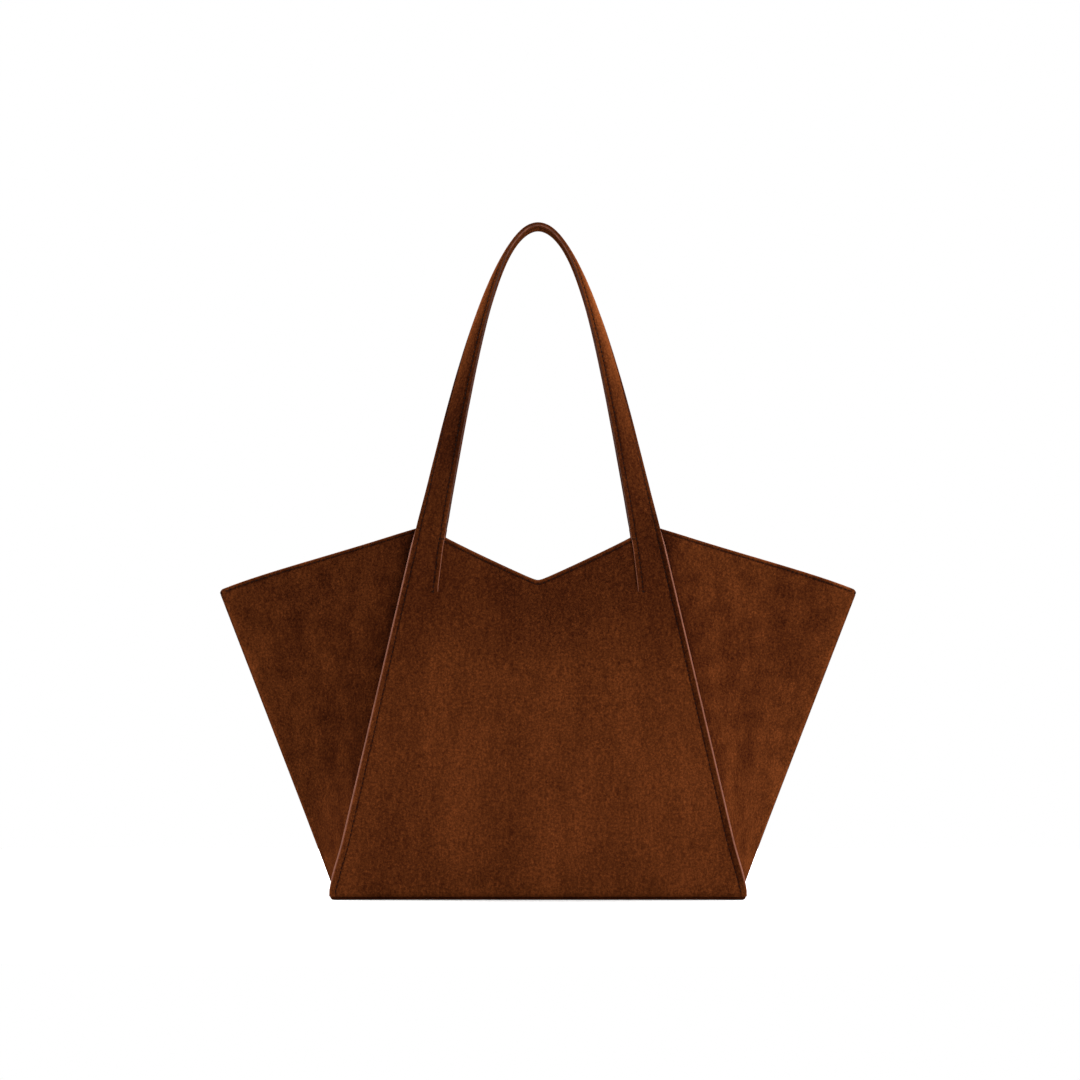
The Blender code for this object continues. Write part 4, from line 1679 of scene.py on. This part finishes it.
class TOTE_OT_stitches(bpy.types.Operator):
    """Sew all the seams"""

    bl_idname = "tote.stitches"
    bl_label = "Stitches"

    def execute(self, context):
        slack = context.scene.tote_suede.slack
        strap_lines = strap_stitch_lines(slack)
        tacks = bartack_lines(slack)
        hems = hem_stitch_lines(slack) + [wing_stitch_line(side, slack) for side in SIDES]
        back = half_turned_lines
        bend(sew("front_seam_stitches", strap_lines), "front")
        bend(sew("back_seam_stitches", back(strap_lines)), "back")
        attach(sew("front_bartacks", tacks, 0.4), "bag")
        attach(sew("back_bartacks", back(tacks), 0.4), "bag")
        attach(sew("front_mouth_stitches", hems), "bag")
        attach(sew("back_mouth_stitches", back(hems)), "bag")
        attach(sew("pocket_stitches", back(pocket_stitch_lines()), 0.8), "bag")
        return {"FINISHED"}


def floor_material():
    """Matt white paper. To the camera only it has some light of its own, which grows away from the bag, so
    that the soft shadow shows and the floor runs into the white background without a line. From below it
    can't be seen, so that the base can."""
    material, tree, shader, place = new_material("white_paper_floor")
    shader.inputs["Base Color"].default_value = linear("EDEDED")
    shader.inputs["Roughness"].default_value = 1.0
    shader.inputs["Specular IOR Level"].default_value = 0.0
    away = add_node(tree, "ShaderNodeVectorMath", {"operation": "LENGTH"}, {0: place}).outputs["Value"]
    span = {"Value": away, "From Min": 0.2, "From Max": 0.55, "To Min": 0.45, "To Max": 1.6}
    glow = add_node(tree, "ShaderNodeMapRange", {"interpolation_type": "SMOOTHSTEP"}, span)
    path = add_node(tree, "ShaderNodeLightPath")
    seen_inputs = {0: path.outputs["Is Camera Ray"], 1: glow.outputs["Result"]}
    seen = add_node(tree, "ShaderNodeMath", {"operation": "MULTIPLY"}, seen_inputs)
    shader.inputs["Emission Color"].default_value = (1.0, 1.0, 1.0, 1.0)
    tree.links.new(seen.outputs[0], shader.inputs["Emission Strength"])
    below = add_node(tree, "ShaderNodeNewGeometry").outputs["Backfacing"]
    clear = add_node(tree, "ShaderNodeBsdfTransparent").outputs["BSDF"]
    one_sided = add_node(tree, "ShaderNodeMixShader", {}, {0: below, 1: shader.outputs["BSDF"], 2: clear})
    tree.links.new(one_sided.outputs[0], tree.nodes["Material Output"].inputs["Surface"])
    return material


def floor_disc():
    """A round floor just under the bag, open where the bag stands so that light reaches the base."""
    segments = 96
    half_x = BASE_WIDTH / 2 - FLOOR_OPENING_INSET
    half_y = BASE_DEPTH / 2 - FLOOR_OPENING_INSET
    points, faces = [], []
    for segment in range(segments):
        angle = 2 * math.pi * segment / segments
        x, y = math.cos(angle), math.sin(angle)
        opening = min(half_x / max(abs(x), 1e-6), half_y / max(abs(y), 1e-6))
        points += [(reach * x, reach * y, -FLOOR_DROP) for reach in (opening, FLOOR_RADIUS)]
        inner, after = 2 * segment, 2 * ((segment + 1) % segments)
        faces.append((inner, inner + 1, after + 1, after))
    mesh = bpy.data.meshes.new("floor")
    mesh.from_pydata(points, [], faces)
    return mesh


def add_light(name, place, size, watts):
    """A square soft light that faces the middle of the bag."""
    lamp = bpy.data.lights.new(name, "AREA")
    lamp.size = size
    lamp.energy = watts
    obj = bpy.data.objects.new(name, lamp)
    obj.location = place
    aim = Vector((0.0, 0.0, AIM_HEIGHT)) - Vector(place)
    obj.rotation_euler = aim.to_track_quat("-Z", "Y").to_euler()
    bpy.context.scene.collection.objects.link(obj)


class TOTE_OT_stage(bpy.types.Operator):
    """Make the floor, the lights and the camera"""

    bl_idname = "tote.stage"
    bl_label = "Stage"

    def execute(self, context):
        settings = context.scene.tote_stage
        floor = add_piece("floor", floor_disc(), floor_material())
        add_light("key_light", (1.93, -2.57, 1.3), 1.5, settings.key)
        add_light("fill_light", (-2.2, -2.2, 1.2), 1.6, settings.fill)
        add_light("left_rim_light", (-1.95, 0.85, 1.5), 1.1, settings.rim * LEFT_RIM_SHARE)
        add_light("right_rim_light", (1.95, 0.85, 1.5), 1.1, settings.rim)
        self.add_world(context.scene, settings.sky)
        self.add_camera(context.scene, settings)
        context.scene.view_settings.view_transform = "Standard"
        return {"FINISHED"}

    def add_world(self, scene, sky):
        """Even white light from all round, with a full white background to the camera and in reflections."""
        world = bpy.data.worlds.new("studio")
        world.use_nodes = True
        scene.world = world
        tree = world.node_tree
        surroundings = tree.nodes["Background"]
        surroundings.inputs["Strength"].default_value = sky
        white = add_node(tree, "ShaderNodeBackground", {}, {"Color": (1.0, 1.0, 1.0, 1.0)})
        path = add_node(tree, "ShaderNodeLightPath")
        seen = path.outputs["Is Camera Ray"]
        for ray in ("Is Glossy Ray", "Is Transmission Ray"):
            inputs = {0: seen, 1: path.outputs[ray]}
            seen = add_node(tree, "ShaderNodeMath", {"operation": "MAXIMUM"}, inputs).outputs[0]
        inputs = {0: seen, 1: surroundings.outputs[0], 2: white.outputs[0]}
        both = add_node(tree, "ShaderNodeMixShader", {}, inputs)
        tree.links.new(both.outputs[0], tree.nodes["World Output"].inputs["Surface"])
        surroundings.inputs["Color"].default_value = (1.0, 1.0, 1.0, 1.0)

    def add_camera(self, scene, settings):
        """A camera square to the bag's front."""
        lens = bpy.data.cameras.new("camera")
        lens.sensor_width = 36.0
        lens.lens = settings.lens
        camera = bpy.data.objects.new("camera", lens)
        camera.location = (CAMERA_X, -settings.distance, settings.height)
        camera.rotation_euler = (math.pi / 2, 0.0, 0.0)
        scene.collection.objects.link(camera)
        scene.camera = camera


class TOTE_PT_build(bpy.types.Panel):
    """Lists the steps that build the bag"""

    bl_label = "Tote bag"
    bl_idname = "TOTE_PT_build"
    bl_space_type = "VIEW_3D"
    bl_region_type = "UI"
    bl_category = "Tote bag"

    def draw(self, context):
        for step in STEPS:
            self.layout.operator(step.bl_idname)
        for group in ("tote_suede", "tote_edge_paint", "tote_thread", "tote_lining", "tote_stage"):
            settings = getattr(context.scene, group)
            box = self.layout.box()
            for name in settings.bl_rna.properties.keys():
                if name not in ("rna_type", "name"):
                    box.prop(settings, name)


STEPS = (
    TOTE_OT_stage,
    TOTE_OT_suede_panels,
    TOTE_OT_strap_backings,
    TOTE_OT_edge_paint,
    TOTE_OT_wings,
    TOTE_OT_base,
    TOTE_OT_lining,
    TOTE_OT_stitches,
)
SETTINGS = {
    "tote_suede": SuedeSettings,
    "tote_edge_paint": EdgePaintSettings,
    "tote_thread": ThreadSettings,
    "tote_lining": LiningSettings,
    "tote_stage": StageSettings,
}


def register():
    """Adds the settings, the steps and their panel to Blender."""
    for name, group in SETTINGS.items():
        bpy.utils.register_class(group)
        setattr(bpy.types.Scene, name, bpy.props.PointerProperty(type=group))
    for step in STEPS:
        bpy.utils.register_class(step)
    bpy.utils.register_class(TOTE_PT_build)


def unregister():
    """Takes them out again."""
    bpy.utils.unregister_class(TOTE_PT_build)
    for step in reversed(STEPS):
        bpy.utils.unregister_class(step)
    for name, group in SETTINGS.items():
        delattr(bpy.types.Scene, name)
        bpy.utils.unregister_class(group)


def main():
    """Builds the bag."""
    register()
    bpy.ops.tote.stage()
    bpy.ops.tote.suede_panels()
    bpy.ops.tote.strap_backings()
    bpy.ops.tote.edge_paint()
    bpy.ops.tote.wings()
    bpy.ops.tote.base()
    bpy.ops.tote.lining()
    bpy.ops.tote.stitches()


if __name__ == "__main__":
    main()
